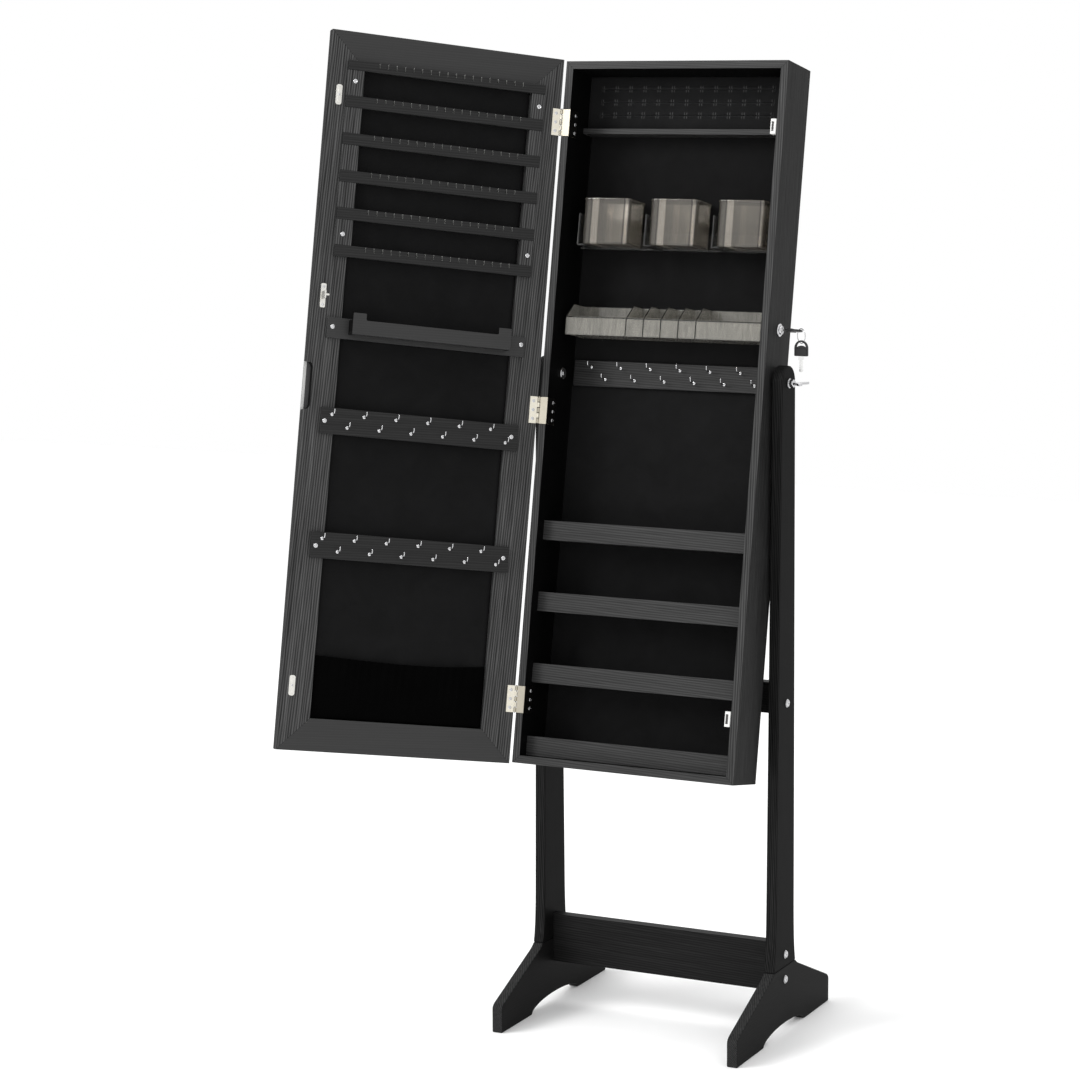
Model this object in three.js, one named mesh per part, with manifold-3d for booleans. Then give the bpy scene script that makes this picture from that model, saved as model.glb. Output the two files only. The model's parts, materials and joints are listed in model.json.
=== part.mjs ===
// Tilting floor-standing jewelry armoire: a shallow cabinet with a mirrored door,
// hung on wing bolts between two splayed-foot uprights. Millimetres, +Z up,
// the cabinet's front faces -Y, and the feet stand on Z = 0.
import * as THREE from 'three';
import { mergeVertices } from 'three/addons/utils/BufferGeometryUtils.js';
import Module from 'manifold-3d';

const wasm = await Module();
wasm.setup();

// ---- driving dimensions -------------------------------------------------
const GAP = 0.3; // clearance between neighbouring pieces

// cabinet carcass: X across, V depth from its front face, U up along the cabinet
const CAB_W = 370;
const CAB_H = 1090;
const CAB_D = 90;
const PANEL_T = 12;
const BACK_T = 5.1;
const LINING_T = 1.1;
const TILT_DEG = 10.8;
const PIVOT_U = 608.5;
const PIVOT_V = 45.5;

// stand
const PIVOT_Z = 1015.5;
const UPRIGHT_T = 17.2;
const UPRIGHT_OUT = 206.8;
const UPRIGHT_TOP_R = 26.5;
const UPRIGHT_LOW_HALF = 37;
const FOOT_HALF = 190;
const FOOT_END_H = 43;
const SEAM_Z = 107;
const SEAM_HALF = 45;
const ARCH_HALF = 84;
const ARCH_H = 16;
const RAIL_T = 18;
const STRETCHER_Z = [69, 147];
const CROSSBAR_Z = [508, 556];
const BOLT_R = 6.5;

// interior fittings, as heights above the cabinet's bottom
const SHELF_T = 9;
const LIP_V = 21.5;
const LIP_H = 30;
const SHELF_U = [125.5, 236.5, 347.5];
const LOW_LIP_U = 12.3;
const HOOK_RAIL_U = [593, 633];
const HOOK_PITCH = 50.4;
const RING_SHELF_U = [985.5, 994];
const RING_SHELF_V = 52;
const RING_PAD_V = 65;
const RING_ROWS_U = [1017, 1037, 1058];
const RING_SLOT_PITCH = 24;
const BIN_W = 82;
const BIN_D = 59;
const BIN_U = [809.9, 881.3];
const BIN_PITCH = 113;
const BIN_SHIFT = 4;
const BIN_V = 21;
const TRAY_HALF = 163.5;
const TRAY_V = 23.5;
const TRAY_U = [668, 695.5, 717.5];
const TRAY_SLOPE = 24;
const TRAY_CELL = 29.2;
const TRAY_SHIFT = -2;
const CATCH_U = [86.5, 978.5];
const LOCK_U = 688;
const LOCK_V = 43.3;

// door, in its own frame: S from the hinge edge, H up, N out of the inner face
const DOOR_W = 371;
const DOOR_H = 1094;
const DOOR_OPEN_DEG = 136;
const HINGE_OFF = 1.5;
const FRAME_T = 15;
const MIRROR_T = 3.7;
const STILE_W = 49.5;
const DOOR_RAIL_W = 50;
const PANEL_RECESS = 6;
const HINGE_H = 41.5;
const HINGE_U = [77.3, 525.6, 973.4];
const RACK = { s: [29, 343], h: [751.5, 1049.5], windowH: 39.3, pitch: 56.8, top: 1035 };
const DOOR_RAIL_S = [29, 343];
const DOOR_RAILS_H = [293, 481.5];
const NOTCH_H = [515.5, 589];
const NOTCH_DEPTH = 11;
const POUCH_TOP = 146.5;

// ---- materials ----------------------------------------------------------
const paint = (color, roughness, metalness = 0, opacity = 1) => () =>
  new THREE.MeshStandardMaterial({
    color,
    roughness,
    metalness,
    opacity,
    transparent: opacity < 1,
  });
const WOOD = paint(0x2b2b2d, 0.55);
const VELVET = paint(0x121213, 0.95);
const FABRIC = paint(0x0e0e10, 0.9);
const CHROME = paint(0xd8d8da, 0.2, 1);
const STEEL = paint(0xcfc6ac, 0.35, 1);
const MIRROR = paint(0xe6eaec, 0.03, 1);
const PLASTIC = paint(0xe9e9e6, 0.45);
const SMOKE = paint(0x8d877c, 0.12, 0, 0.5);
const CLEAR = paint(0xdfe2e3, 0.08, 0, 0.35);
const BLACK_PLASTIC = paint(0x161617, 0.4);

// ---- geometry helpers ---------------------------------------------------
const clean = (geometry) => {
  const g = geometry.clone();
  g.deleteAttribute('normal');
  g.deleteAttribute('uv');
  return mergeVertices(g, 1e-5);
};

const solid = (geometry) => {
  const g = clean(geometry);
  return new wasm.Manifold(
    new wasm.Mesh({
      numProp: 3,
      vertProperties: Float32Array.from(g.attributes.position.array),
      triVerts: Uint32Array.from(g.index.array),
    })
  );
};

const geometryOf = (manifold) => {
  const out = manifold.getMesh();
  const g = new THREE.BufferGeometry();
  g.setAttribute('position', new THREE.BufferAttribute(Float32Array.from(out.vertProperties), 3));
  g.setIndex(new THREE.BufferAttribute(Uint32Array.from(out.triVerts), 1));
  g.computeVertexNormals();
  return g;
};

const join = (...geometries) => geometryOf(geometries.map(solid).reduce((a, b) => a.add(b)));
const cut = (base, ...tools) =>
  geometryOf(tools.map(solid).reduce((a, b) => a.subtract(b), solid(base)));

const box = (x0, x1, y0, y1, z0, z1) =>
  new THREE.BoxGeometry(x1 - x0, y1 - y0, z1 - z0).translate(
    (x0 + x1) / 2,
    (y0 + y1) / 2,
    (z0 + z1) / 2
  );

const outline = (points) => new THREE.Shape(points.map(([a, b]) => new THREE.Vector2(a, b)));

// an outline in (first, second), carried along the named axis from lo to hi
const prism = (shape, axis, lo, hi, curveSegments = 8) => {
  const g = new THREE.ExtrudeGeometry(shape, { depth: hi - lo, bevelEnabled: false, curveSegments });
  if (axis === 'x') {
    return g.applyMatrix4(
      new THREE.Matrix4().set(0, 0, 1, lo, 1, 0, 0, 0, 0, 1, 0, 0, 0, 0, 0, 1)
    );
  }
  if (axis === 'y') {
    return g.applyMatrix4(
      new THREE.Matrix4().set(1, 0, 0, 0, 0, 0, -1, hi, 0, 1, 0, 0, 0, 0, 0, 1)
    );
  }
  return g.translate(0, 0, lo);
};

const rodX = (r, x0, x1, y, z, n = 24) =>
  new THREE.CylinderGeometry(r, r, x1 - x0, n).rotateZ(Math.PI / 2).translate((x0 + x1) / 2, y, z);
const rodZ = (r, z0, z1, x, y, n = 16) =>
  new THREE.CylinderGeometry(r, r, z1 - z0, n).rotateX(Math.PI / 2).translate(x, y, (z0 + z1) / 2);
const rodY = (r, y0, y1, x, z, n = 12) =>
  new THREE.CylinderGeometry(r, r, y1 - y0, n).translate(x, (y0 + y1) / 2, z);

const piece = (parent, name, geometry, material) => {
  const mesh = new THREE.Mesh(geometry, material());
  mesh.name = name;
  parent.add(mesh);
  return mesh;
};

// ---- frames -------------------------------------------------------------
const armoire = new THREE.Group();
armoire.name = 'jewelry_armoire';

const tilt = THREE.MathUtils.degToRad(TILT_DEG);
const cabinet = new THREE.Group();
cabinet.name = 'cabinet_group';
cabinet.rotation.x = -tilt;
const pivotLocal = new THREE.Vector3(0, PIVOT_V, PIVOT_U).applyEuler(cabinet.rotation);
cabinet.position.set(0, -pivotLocal.y, PIVOT_Z - pivotLocal.z);
armoire.add(cabinet);

const door = new THREE.Group();
door.name = 'door_group';
door.position.set(-CAB_W / 2 - HINGE_OFF, -HINGE_OFF, (CAB_H - DOOR_H) / 2);
door.rotation.z = -THREE.MathUtils.degToRad(DOOR_OPEN_DEG);
cabinet.add(door);

// ---- stand --------------------------------------------------------------
const uprightShape = () => {
  const s = new THREE.Shape();
  const flareTop = SEAM_Z + 88;
  s.moveTo(-SEAM_HALF, SEAM_Z + GAP);
  s.lineTo(SEAM_HALF, SEAM_Z + GAP);
  s.quadraticCurveTo(UPRIGHT_LOW_HALF + 1, SEAM_Z + 22, UPRIGHT_LOW_HALF, flareTop);
  s.lineTo(UPRIGHT_TOP_R, PIVOT_Z);
  s.absarc(0, PIVOT_Z, UPRIGHT_TOP_R, 0, Math.PI, false);
  s.lineTo(-UPRIGHT_LOW_HALF, flareTop);
  s.quadraticCurveTo(-UPRIGHT_LOW_HALF - 1, SEAM_Z + 22, -SEAM_HALF, SEAM_Z + GAP);
  return s;
};

const footShape = () => {
  const s = new THREE.Shape();
  s.moveTo(-FOOT_HALF, 0);
  s.lineTo(-ARCH_HALF, 0);
  s.absellipse(0, 0, ARCH_HALF, ARCH_H, Math.PI, 0, true);
  s.lineTo(FOOT_HALF, 0);
  s.lineTo(FOOT_HALF, FOOT_END_H - 7);
  s.quadraticCurveTo(FOOT_HALF, FOOT_END_H, FOOT_HALF - 9, FOOT_END_H + 4);
  s.lineTo(64, 96);
  s.quadraticCurveTo(SEAM_HALF + 6, 101, SEAM_HALF, SEAM_Z);
  s.lineTo(-SEAM_HALF, SEAM_Z);
  s.quadraticCurveTo(-SEAM_HALF - 6, 101, -64, 96);
  s.lineTo(-FOOT_HALF + 9, FOOT_END_H + 4);
  s.quadraticCurveTo(-FOOT_HALF, FOOT_END_H, -FOOT_HALF, FOOT_END_H - 7);
  return s;
};

const wingShape = () => {
  const s = new THREE.Shape();
  s.moveTo(0, 5);
  s.lineTo(7, 5.5);
  s.quadraticCurveTo(13, 8, 16, 13);
  s.quadraticCurveTo(21, 20, 25, 17);
  s.quadraticCurveTo(27, 12, 22, 7);
  s.quadraticCurveTo(19, 3, 17, 0);
  s.quadraticCurveTo(19, -3, 22, -7);
  s.quadraticCurveTo(27, -12, 25, -17);
  s.quadraticCurveTo(21, -20, 16, -13);
  s.quadraticCurveTo(13, -8, 7, -5.5);
  s.lineTo(0, -5);
  return s;
};

const UPRIGHT_IN = UPRIGHT_OUT - UPRIGHT_T;
const SIDES = [
  ['left', -1],
  ['right', 1],
];
const span = (sign, a, b) => (sign > 0 ? [a, b] : [-b, -a]);

for (const [side, sign] of SIDES) {
  const [x0, x1] = span(sign, UPRIGHT_IN, UPRIGHT_OUT);
  const bolt = (name, y, z) => {
    const [h0, h1] = span(sign, UPRIGHT_OUT + GAP, UPRIGHT_OUT + 3.5);
    const [s0, s1] = span(sign, UPRIGHT_IN - 20, UPRIGHT_OUT + 1);
    const head = rodX(BOLT_R, h0, h1, y, z, 20);
    piece(armoire, name, join(head, rodX(3, s0, s1, y, z, 12)), CHROME);
  };
  const hole = (r, y, z) => rodX(r, x0 - 1, x1 + 1, y, z, 24);
  piece(
    armoire,
    `${side}_upright`,
    cut(
      prism(uprightShape(), 'x', x0, x1, 7),
      hole(4.3, 0, PIVOT_Z),
      hole(3.3, 0, SEAM_Z + 20),
      hole(3.3, 0, 524)
    ),
    WOOD
  );
  piece(
    armoire,
    `${side}_foot`,
    cut(prism(footShape(), 'x', x0, x1, 12), hole(3.3, 0, SEAM_Z - 20)),
    WOOD
  );
  bolt(`${side}_stretcher_bolt_upper`, 0, SEAM_Z + 20);
  bolt(`${side}_stretcher_bolt_lower`, 0, SEAM_Z - 20);
  bolt(`${side}_crossbar_bolt`, 0, 524);

  // wing bolt: washer, hub, two swept wings and the shank that carries the cabinet
  const [a0, a1] = span(sign, UPRIGHT_OUT + GAP, UPRIGHT_OUT + 3);
  const [b0, b1] = span(sign, UPRIGHT_OUT + 2.5, UPRIGHT_OUT + 10);
  const [c0, c1] = span(sign, CAB_W / 2 - 16.5, UPRIGHT_OUT + 4);
  const wings = prism(wingShape(), 'z', -1.8, 1.8, 4)
    .rotateZ(sign > 0 ? 0 : Math.PI)
    .translate(sign * (UPRIGHT_OUT + 1.2), 0, PIVOT_Z);
  piece(
    armoire,
    `${side}_wing_bolt`,
    join(
      rodX(7.6, a0, a1, 0, PIVOT_Z, 24),
      rodX(6, b0, b1, 0, PIVOT_Z, 16),
      rodX(4, c0, c1, 0, PIVOT_Z, 24),
      wings
    ),
    CHROME
  );
}

const railBetween = (name, z, holes) => {
  const reach = UPRIGHT_IN - GAP;
  const body = box(-reach, reach, -RAIL_T / 2, RAIL_T / 2, z[0], z[1]);
  const bores = holes.flatMap((h) => [
    rodX(3.3, -reach - 1, -reach + 21, 0, h, 12),
    rodX(3.3, reach - 21, reach + 1, 0, h, 12),
  ]);
  piece(armoire, name, cut(body, ...bores), WOOD);
};
railBetween('lower_stretcher', STRETCHER_Z, [SEAM_Z - 20, SEAM_Z + 20]);
railBetween('rear_crossbar', CROSSBAR_Z, [524]);

// ---- carcass ------------------------------------------------------------
const HW = CAB_W / 2;
const IN = HW - PANEL_T;
const m = GAP / 2;

for (const [side, sign] of SIDES) {
  const shape = outline([
    [sign * HW, m],
    [sign * HW, CAB_H - m],
    [sign * IN, CAB_H - PANEL_T - m],
    [sign * IN, PANEL_T + m],
  ]);
  const tools = [rodX(4.3, sign * HW - 14, sign * HW + 14, PIVOT_V, PIVOT_U)];
  if (sign > 0) tools.push(rodX(8.3, HW - 14, HW + 2, LOCK_V, LOCK_U));
  piece(cabinet, `${side}_side_panel`, cut(prism(shape, 'y', 0, CAB_D), ...tools), WOOD);

  // flanged pivot nut pressed into the side panel's inner face
  const [f0, f1] = span(sign, IN - 2.2, IN - GAP);
  const [n0, n1] = span(sign, IN - 5, IN - 2);
  piece(
    cabinet,
    `${side}_pivot_nut`,
    cut(
      join(rodX(9, f0, f1, PIVOT_V, PIVOT_U), rodX(6.5, n0, n1, PIVOT_V, PIVOT_U, 6)),
      rodX(4.1, sign * IN - 12, sign * IN + 12, PIVOT_V, PIVOT_U)
    ),
    CHROME
  );
}

const capShape = (sign, u0) =>
  outline([
    [-HW + m, u0],
    [HW - m, u0],
    [IN - m, u0 + sign * PANEL_T],
    [-IN + m, u0 + sign * PANEL_T],
  ]);
piece(cabinet, 'bottom_panel', prism(capShape(1, 0), 'y', 0, CAB_D), WOOD);
piece(cabinet, 'top_panel', prism(capShape(-1, CAB_H), 'y', 0, CAB_D), WOOD);

const reach = IN - GAP;
const floorU = PANEL_T + GAP;
const ceilU = CAB_H - PANEL_T - GAP;
const backV = CAB_D - GAP - BACK_T;
const liningV = backV - GAP - LINING_T;
const fitV = liningV - GAP;
piece(cabinet, 'back_panel', box(-reach, reach, backV, CAB_D - GAP, floorU, ceilU), WOOD);
piece(cabinet, 'back_lining', box(-reach, reach, liningV, backV - GAP, floorU, ceilU), VELVET);

// ---- interior -----------------------------------------------------------
SHELF_U.forEach((u, i) => {
  piece(
    cabinet,
    `tray_shelf_${i + 1}`,
    join(
      box(-reach, reach, LIP_V, LIP_V + SHELF_T, u, u + LIP_H),
      box(-reach, reach, LIP_V + SHELF_T - 0.01, fitV, u, u + SHELF_T)
    ),
    WOOD
  );
});
piece(
  cabinet,
  'bottom_lip',
  box(-reach, reach, LIP_V, LIP_V + SHELF_T, LOW_LIP_U, LOW_LIP_U + LIP_H),
  WOOD
);

const hookPath = (x, y, z) =>
  new THREE.CatmullRomCurve3(
    [
      new THREE.Vector3(x, y, z),
      new THREE.Vector3(x, y + 9, z),
      new THREE.Vector3(x, y + 13, z + 1.5),
      new THREE.Vector3(x, y + 15, z + 5),
      new THREE.Vector3(x, y + 15.5, z + 9),
    ],
    false,
    'centripetal'
  );
const wireShape = outline(
  [0, 1, 2, 3, 4].map((k) => (k * Math.PI) / 2.5).map((a) => [1.2 * Math.cos(a), 1.2 * Math.sin(a)])
);
const hookAt = (x, z) => [
  rodY(3.4, -0.4, 1.4, x, z, 7),
  new THREE.ExtrudeGeometry(wireShape, { steps: 5, extrudePath: hookPath(x, 0, z) }),
];

// a board with twelve hooks in two staggered rows; face at y = 0, hooks towards +y
const hookBoard = (x0, x1, h, thickness, mid, way) => {
  const rows = [
    [h - 10, -1],
    [h - 28.5, 0],
  ];
  const hooks = rows.flatMap(([z, k]) =>
    [0, 1, 2, 3, 4, 5].flatMap((i) =>
      hookAt(mid + way * ((i - 2.5) * HOOK_PITCH + (k ? -1 : 1) * (HOOK_PITCH / 4)), z)
    )
  );
  return join(box(x0, x1, -thickness, 0, 0, h), ...hooks);
};

piece(
  cabinet,
  'cabinet_hook_rail',
  hookBoard(-168, 168, 40, 6, 0, -1)
    .rotateZ(Math.PI)
    .translate(0, fitV - 6, HOOK_RAIL_U[0]),
  WOOD
);

piece(
  cabinet,
  'ring_shelf',
  box(-reach, reach, RING_SHELF_V, fitV, RING_SHELF_U[0], RING_SHELF_U[1]),
  WOOD
);
const padLow = RING_SHELF_U[1] + GAP;
const ringSlots = RING_ROWS_U.map((u) =>
  box(-6.5 * RING_SLOT_PITCH, 6.5 * RING_SLOT_PITCH, RING_PAD_V - 1, RING_PAD_V + 9, u - 0.9, u + 0.9)
);
piece(
  cabinet,
  'ring_pad',
  cut(box(-reach, reach, RING_PAD_V, fitV, padLow, ceilU - 0.2), ...ringSlots),
  VELVET
);

// each bin rests on an L-shaped runner on its left and on a ledge along one back strip
const runners = [-1, 0, 1].flatMap((k) => {
  const x = k * BIN_PITCH + BIN_SHIFT - BIN_W / 2;
  return [
    box(x - 4, x - 2, BIN_V + 1, fitV, BIN_U[0] - 2.6, BIN_U[1] - 24),
    box(x - 4, x + 8, BIN_V + 1, fitV, BIN_U[0] - 2.6, BIN_U[0] - 0.4),
  ];
});
const ledge = box(-170, 170, fitV - 16, fitV, BIN_U[0] - 2.6, BIN_U[0] - 0.4);
const strip = join(ledge, box(-170, 170, fitV - 2, fitV, BIN_U[0] - 2.6, BIN_U[0] + 26));
piece(cabinet, 'bin_holder', join(strip, ...runners), CLEAR);

const roundedBox = (x0, x1, y0, y1, r) => {
  const s = new THREE.Shape();
  s.moveTo(x0, y1);
  s.lineTo(x0, y0 + r);
  s.quadraticCurveTo(x0, y0, x0 + r, y0);
  s.lineTo(x1 - r, y0);
  s.quadraticCurveTo(x1, y0, x1, y0 + r);
  s.lineTo(x1, y1);
  return s;
};
const binSolid = (cx) => {
  const x0 = cx - BIN_W / 2;
  const x1 = cx + BIN_W / 2;
  const y1 = BIN_V + BIN_D;
  const body = prism(roundedBox(x0 + 1.5, x1 - 1.5, BIN_V + 1.5, y1 - 1, 10), 'z', ...BIN_U, 5);
  const rim = prism(roundedBox(x0, x1, BIN_V, y1, 11), 'z', BIN_U[1] - 3, BIN_U[1], 5);
  const hollow = prism(
    roundedBox(x0 + 3.7, x1 - 3.7, BIN_V + 3.7, y1 - 3.2, 8),
    'z',
    BIN_U[0] + 2.4,
    BIN_U[1] + 1,
    5
  );
  return cut(join(body, rim), hollow);
};
['left_bin', 'middle_bin', 'right_bin'].forEach((name, i) => {
  piece(cabinet, name, binSolid((i - 1) * BIN_PITCH + BIN_SHIFT), SMOKE);
});

const traySide = outline([
  [TRAY_V, TRAY_U[0]],
  [fitV, TRAY_U[0]],
  [fitV, TRAY_U[2]],
  [TRAY_V + TRAY_SLOPE, TRAY_U[2]],
  [TRAY_V, TRAY_U[1]],
]);
const trayWalls = [-TRAY_HALF, ...[-2, -1, 0, 1, 2].map((k) => k * TRAY_CELL + TRAY_SHIFT), TRAY_HALF];
const trayCells = trayWalls.slice(1).map((x, i) => {
  const left = trayWalls[i] + (i === 0 ? 2.2 : 0.9);
  const right = x - (i === 5 ? 2.2 : 0.9);
  return box(left, right, TRAY_V + 2.2, fitV - 2.2, TRAY_U[0] + 2.2, TRAY_U[2] + 5);
});
piece(
  cabinet,
  'cosmetic_tray',
  cut(prism(traySide, 'x', -TRAY_HALF, TRAY_HALF), ...trayCells),
  SMOKE
);

['lower_catch', 'upper_catch'].forEach((name, i) => {
  const u = CATCH_U[i];
  piece(cabinet, name, box(160.2, reach, -1.3, 13, u, u + 23), PLASTIC);
});

// ---- lock ---------------------------------------------------------------
piece(
  cabinet,
  'lock_housing',
  cut(
    join(
      rodX(10, HW + GAP, HW + 3, LOCK_V, LOCK_U, 28),
      rodX(8, IN + 0.5, HW + 1, LOCK_V, LOCK_U, 28),
      rodX(7, IN - 2, HW, LOCK_V, LOCK_U, 20)
    ),
    rodX(5.1, IN - 5, HW + 5, LOCK_V, LOCK_U, 24)
  ),
  CHROME
);

// cam drawn hanging straight down; a slot in its leading edge takes the strike pin
const camShape = outline([
  [-4, 4.5],
  [4, 4.5],
  [4, -30],
  [-4, -30],
  [-4, -25.8],
  [1.6, -25.8],
  [1.6, -20.8],
  [-4, -20.8],
]);
piece(
  cabinet,
  'lock_plug_cam',
  cut(
    join(
      rodX(5, IN - 3, HW + 2.6, LOCK_V, LOCK_U, 24),
      prism(camShape, 'x', IN - 5.4, IN - 3.8).translate(0, LOCK_V, LOCK_U),
      rodX(3, IN - 5, IN - 2, LOCK_V, LOCK_U, 12)
    ),
    box(HW - 15, HW + 4, LOCK_V - 3.6, LOCK_V + 3.6, LOCK_U - 1.2, LOCK_U + 1.2)
  ),
  CHROME
);

// a key lying in the x-y plane: blade towards -x, bow towards +x, ring slot at the bow's end
const keySolid = (bladeLength) => {
  const bow = outline([
    [0, -5],
    [3, -9],
    [8, -11],
    [18, -11],
    [22, -9],
    [24, -5],
    [24, 5],
    [22, 9],
    [18, 11],
    [8, 11],
    [3, 9],
    [0, 5],
  ]);
  bow.holes.push(
    new THREE.Path(
      [
        [11, -7.5],
        [19, -7.5],
        [21.6, -5],
        [21.6, 5],
        [19, 7.5],
        [11, 7.5],
      ].map(([a, b]) => new THREE.Vector2(a, b))
    )
  );
  return join(prism(bow, 'z', -1.1, 1.1), box(-bladeLength, 1, -3.2, 3.2, -0.9, 0.9));
};
const KEY_X = HW + 13.5;
const BAR = 22.8; // from the bow's root to the middle of its end bar
piece(
  cabinet,
  'lock_key',
  keySolid(26).translate(KEY_X, LOCK_V, LOCK_U),
  BLACK_PLASTIC
);

const RING_R = 11;
const RING_WIRE = 0.75;
const RING_HANG = RING_R - RING_WIRE - 2.6;
const hang = new THREE.Group();
hang.name = 'hanging_group';
hang.position.set(KEY_X + BAR, LOCK_V, LOCK_U);
hang.rotation.x = tilt;
cabinet.add(hang);
piece(
  hang,
  'key_ring',
  new THREE.TorusGeometry(RING_R, RING_WIRE, 6, 24)
    .rotateX(Math.PI / 2)
    .rotateZ(-Math.atan2(0.6, 0.8))
    .translate(0, 0, -RING_HANG),
  CHROME
);
piece(
  hang,
  'spare_key',
  keySolid(24)
    .rotateX(Math.PI / 2)
    .rotateY(-Math.PI / 2)
    .translate(0, 0, -2 * RING_HANG - BAR),
  BLACK_PLASTIC
);

// ---- hinges -------------------------------------------------------------
const KNUCKLE_R = 1.9;
const PIN_R = 0.9;
const knuckles = HINGE_H / 5;
const axisX = -HW - HINGE_OFF;
HINGE_U.forEach((u, i) => {
  const fixed = [0, 2, 4].flatMap((k) => {
    const z0 = u + k * knuckles + 0.15;
    const z1 = u + (k + 1) * knuckles - 0.15;
    return [
      rodZ(KNUCKLE_R, z0, z1, axisX, -HINGE_OFF, 16),
      box(axisX, -HW + 1.2, -1.3, -0.1, z0, z1),
    ];
  });
  piece(
    cabinet,
    `cabinet_hinge_leaf_${i + 1}`,
    join(
      box(-HW + 0.8, -IN + 1.3, -1.3, -0.1, u, u + HINGE_H),
      box(-IN + 0.3, -IN + 1.3, -1.3, 27, u, u + HINGE_H),
      rodZ(PIN_R, u + 0.2, u + HINGE_H - 0.2, axisX, -HINGE_OFF, 12),
      ...fixed
    ),
    STEEL
  );
  const h = u - (CAB_H - DOOR_H) / 2;
  const turning = [1, 3].flatMap((k) => {
    const z0 = h + k * knuckles + 0.15;
    const z1 = h + (k + 1) * knuckles - 0.15;
    return [rodZ(KNUCKLE_R, z0, z1, 0, 0, 16), box(0, 2.5, -1.4, -0.2, z0, z1)];
  });
  piece(
    door,
    `door_hinge_leaf_${i + 1}`,
    cut(
      join(box(2.2, HINGE_OFF + 12.6, -1.4, -0.2, h, h + HINGE_H), ...turning),
      rodZ(1.05, h - 1, h + HINGE_H + 1, 0, 0, 12)
    ),
    STEEL
  );
});

// ---- door ---------------------------------------------------------------
const FACE = -HINGE_OFF; // the door's inner face
const S = (s) => s + HINGE_OFF;
const SW = STILE_W;
const RW = DOOR_RAIL_W;
const frameY = [FACE - FRAME_T, FACE];
const doorBoard = (name, points, ...tools) => {
  const body = prism(outline(points.map(([s, h]) => [S(s), h])), 'y', ...frameY);
  piece(door, name, tools.length ? cut(body, ...tools) : body, WOOD);
};
doorBoard('door_hinge_stile', [
  [0, m],
  [SW, RW + m],
  [SW, DOOR_H - RW - m],
  [0, DOOR_H - m],
]);
const notch = roundedBox(NOTCH_H[0], NOTCH_H[1], -NOTCH_DEPTH, 3, 9);
const notchTool = prism(notch, 'z', -FRAME_T - 1, 1, 6)
  .applyMatrix4(new THREE.Matrix4().set(0, 1, 0, S(DOOR_W), 0, 0, -1, FACE - FRAME_T, -1, 0, 0, 0, 0, 0, 0, 1))
  .translate(0, 0, NOTCH_H[0] + NOTCH_H[1]);
doorBoard(
  'door_free_stile',
  [
    [DOOR_W, m],
    [DOOR_W, DOOR_H - m],
    [DOOR_W - SW, DOOR_H - RW - m],
    [DOOR_W - SW, RW + m],
  ],
  notchTool
);
doorBoard('door_bottom_rail', [
  [m, 0],
  [DOOR_W - m, 0],
  [DOOR_W - SW - m, RW],
  [SW + m, RW],
]);
doorBoard('door_top_rail', [
  [m, DOOR_H],
  [SW + m, DOOR_H - RW],
  [DOOR_W - SW - m, DOOR_H - RW],
  [DOOR_W - m, DOOR_H],
]);
const mirrorY = frameY[0] - GAP;
piece(
  door,
  'door_mirror',
  box(S(0.5), S(DOOR_W - 0.5), mirrorY - MIRROR_T, mirrorY, 0.5, DOOR_H - 0.5),
  MIRROR
);
const padFront = FACE - PANEL_RECESS;
piece(
  door,
  'door_lining',
  box(S(SW + GAP), S(DOOR_W - SW - GAP), mirrorY + 0.4, padFront, RW + GAP, DOOR_H - RW - GAP),
  VELVET
);

const onFace = FACE + GAP;
const rackShape = () => {
  const teeth = 18;
  const [s0, s1] = RACK.s;
  const w0 = 49.5;
  const w1 = 317.5;
  const toothAt = (k) => 66 + ((295 - 66) / (teeth - 1)) * k;
  const edge = (h) =>
    Array.from({ length: teeth }, (_, k) => [
      [toothAt(k) - 1.8, h],
      [toothAt(k), h - 4.5],
      [toothAt(k) + 1.8, h],
    ]).flat();
  const s = outline(
    [[s0, RACK.h[0]], [s1, RACK.h[0]], [s1, RACK.h[1]], ...edge(RACK.h[1]).reverse(), [s0, RACK.h[1]]].map(
      ([a, b]) => [S(a), b]
    )
  );
  for (let i = 0; i < 5; i += 1) {
    const top = RACK.top - i * RACK.pitch;
    const low = top - RACK.windowH;
    const hole = [[w0, top], [w0, low], ...edge(low), [w1, low], [w1, top]];
    s.holes.push(new THREE.Path(hole.map(([a, b]) => new THREE.Vector2(S(a), b))));
  }
  return s;
};
piece(door, 'earring_rack', prism(rackShape(), 'y', onFace, onFace + 7), WOOD);

DOOR_RAILS_H.forEach((h, i) => {
  piece(
    door,
    `door_hook_rail_${i + 1}`,
    hookBoard(S(DOOR_RAIL_S[0]), S(DOOR_RAIL_S[1]), 40, 6, S(187.5), 1).translate(0, onFace + 6, h),
    WOOD
  );
});

const barShape = outline(
  [
    [60, 634],
    [311, 634],
    [311, 666.5],
    [290.5, 666.5],
    [290.5, 656],
    [80.5, 656],
    [80.5, 666.5],
    [60, 666.5],
  ].map(([a, b]) => [S(a), b])
);
piece(
  door,
  'door_shelf',
  join(
    box(S(30), S(344), onFace, onFace + 6, 627, 658),
    box(S(60), S(311), onFace + 5.9, onFace + 26, 634, 639),
    box(S(60), S(65), onFace + 5.9, onFace + 26, 634, 656),
    box(S(306), S(311), onFace + 5.9, onFace + 26, 634, 656),
    prism(barShape, 'y', onFace + 25.9, onFace + 31)
  ),
  WOOD
);

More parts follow.
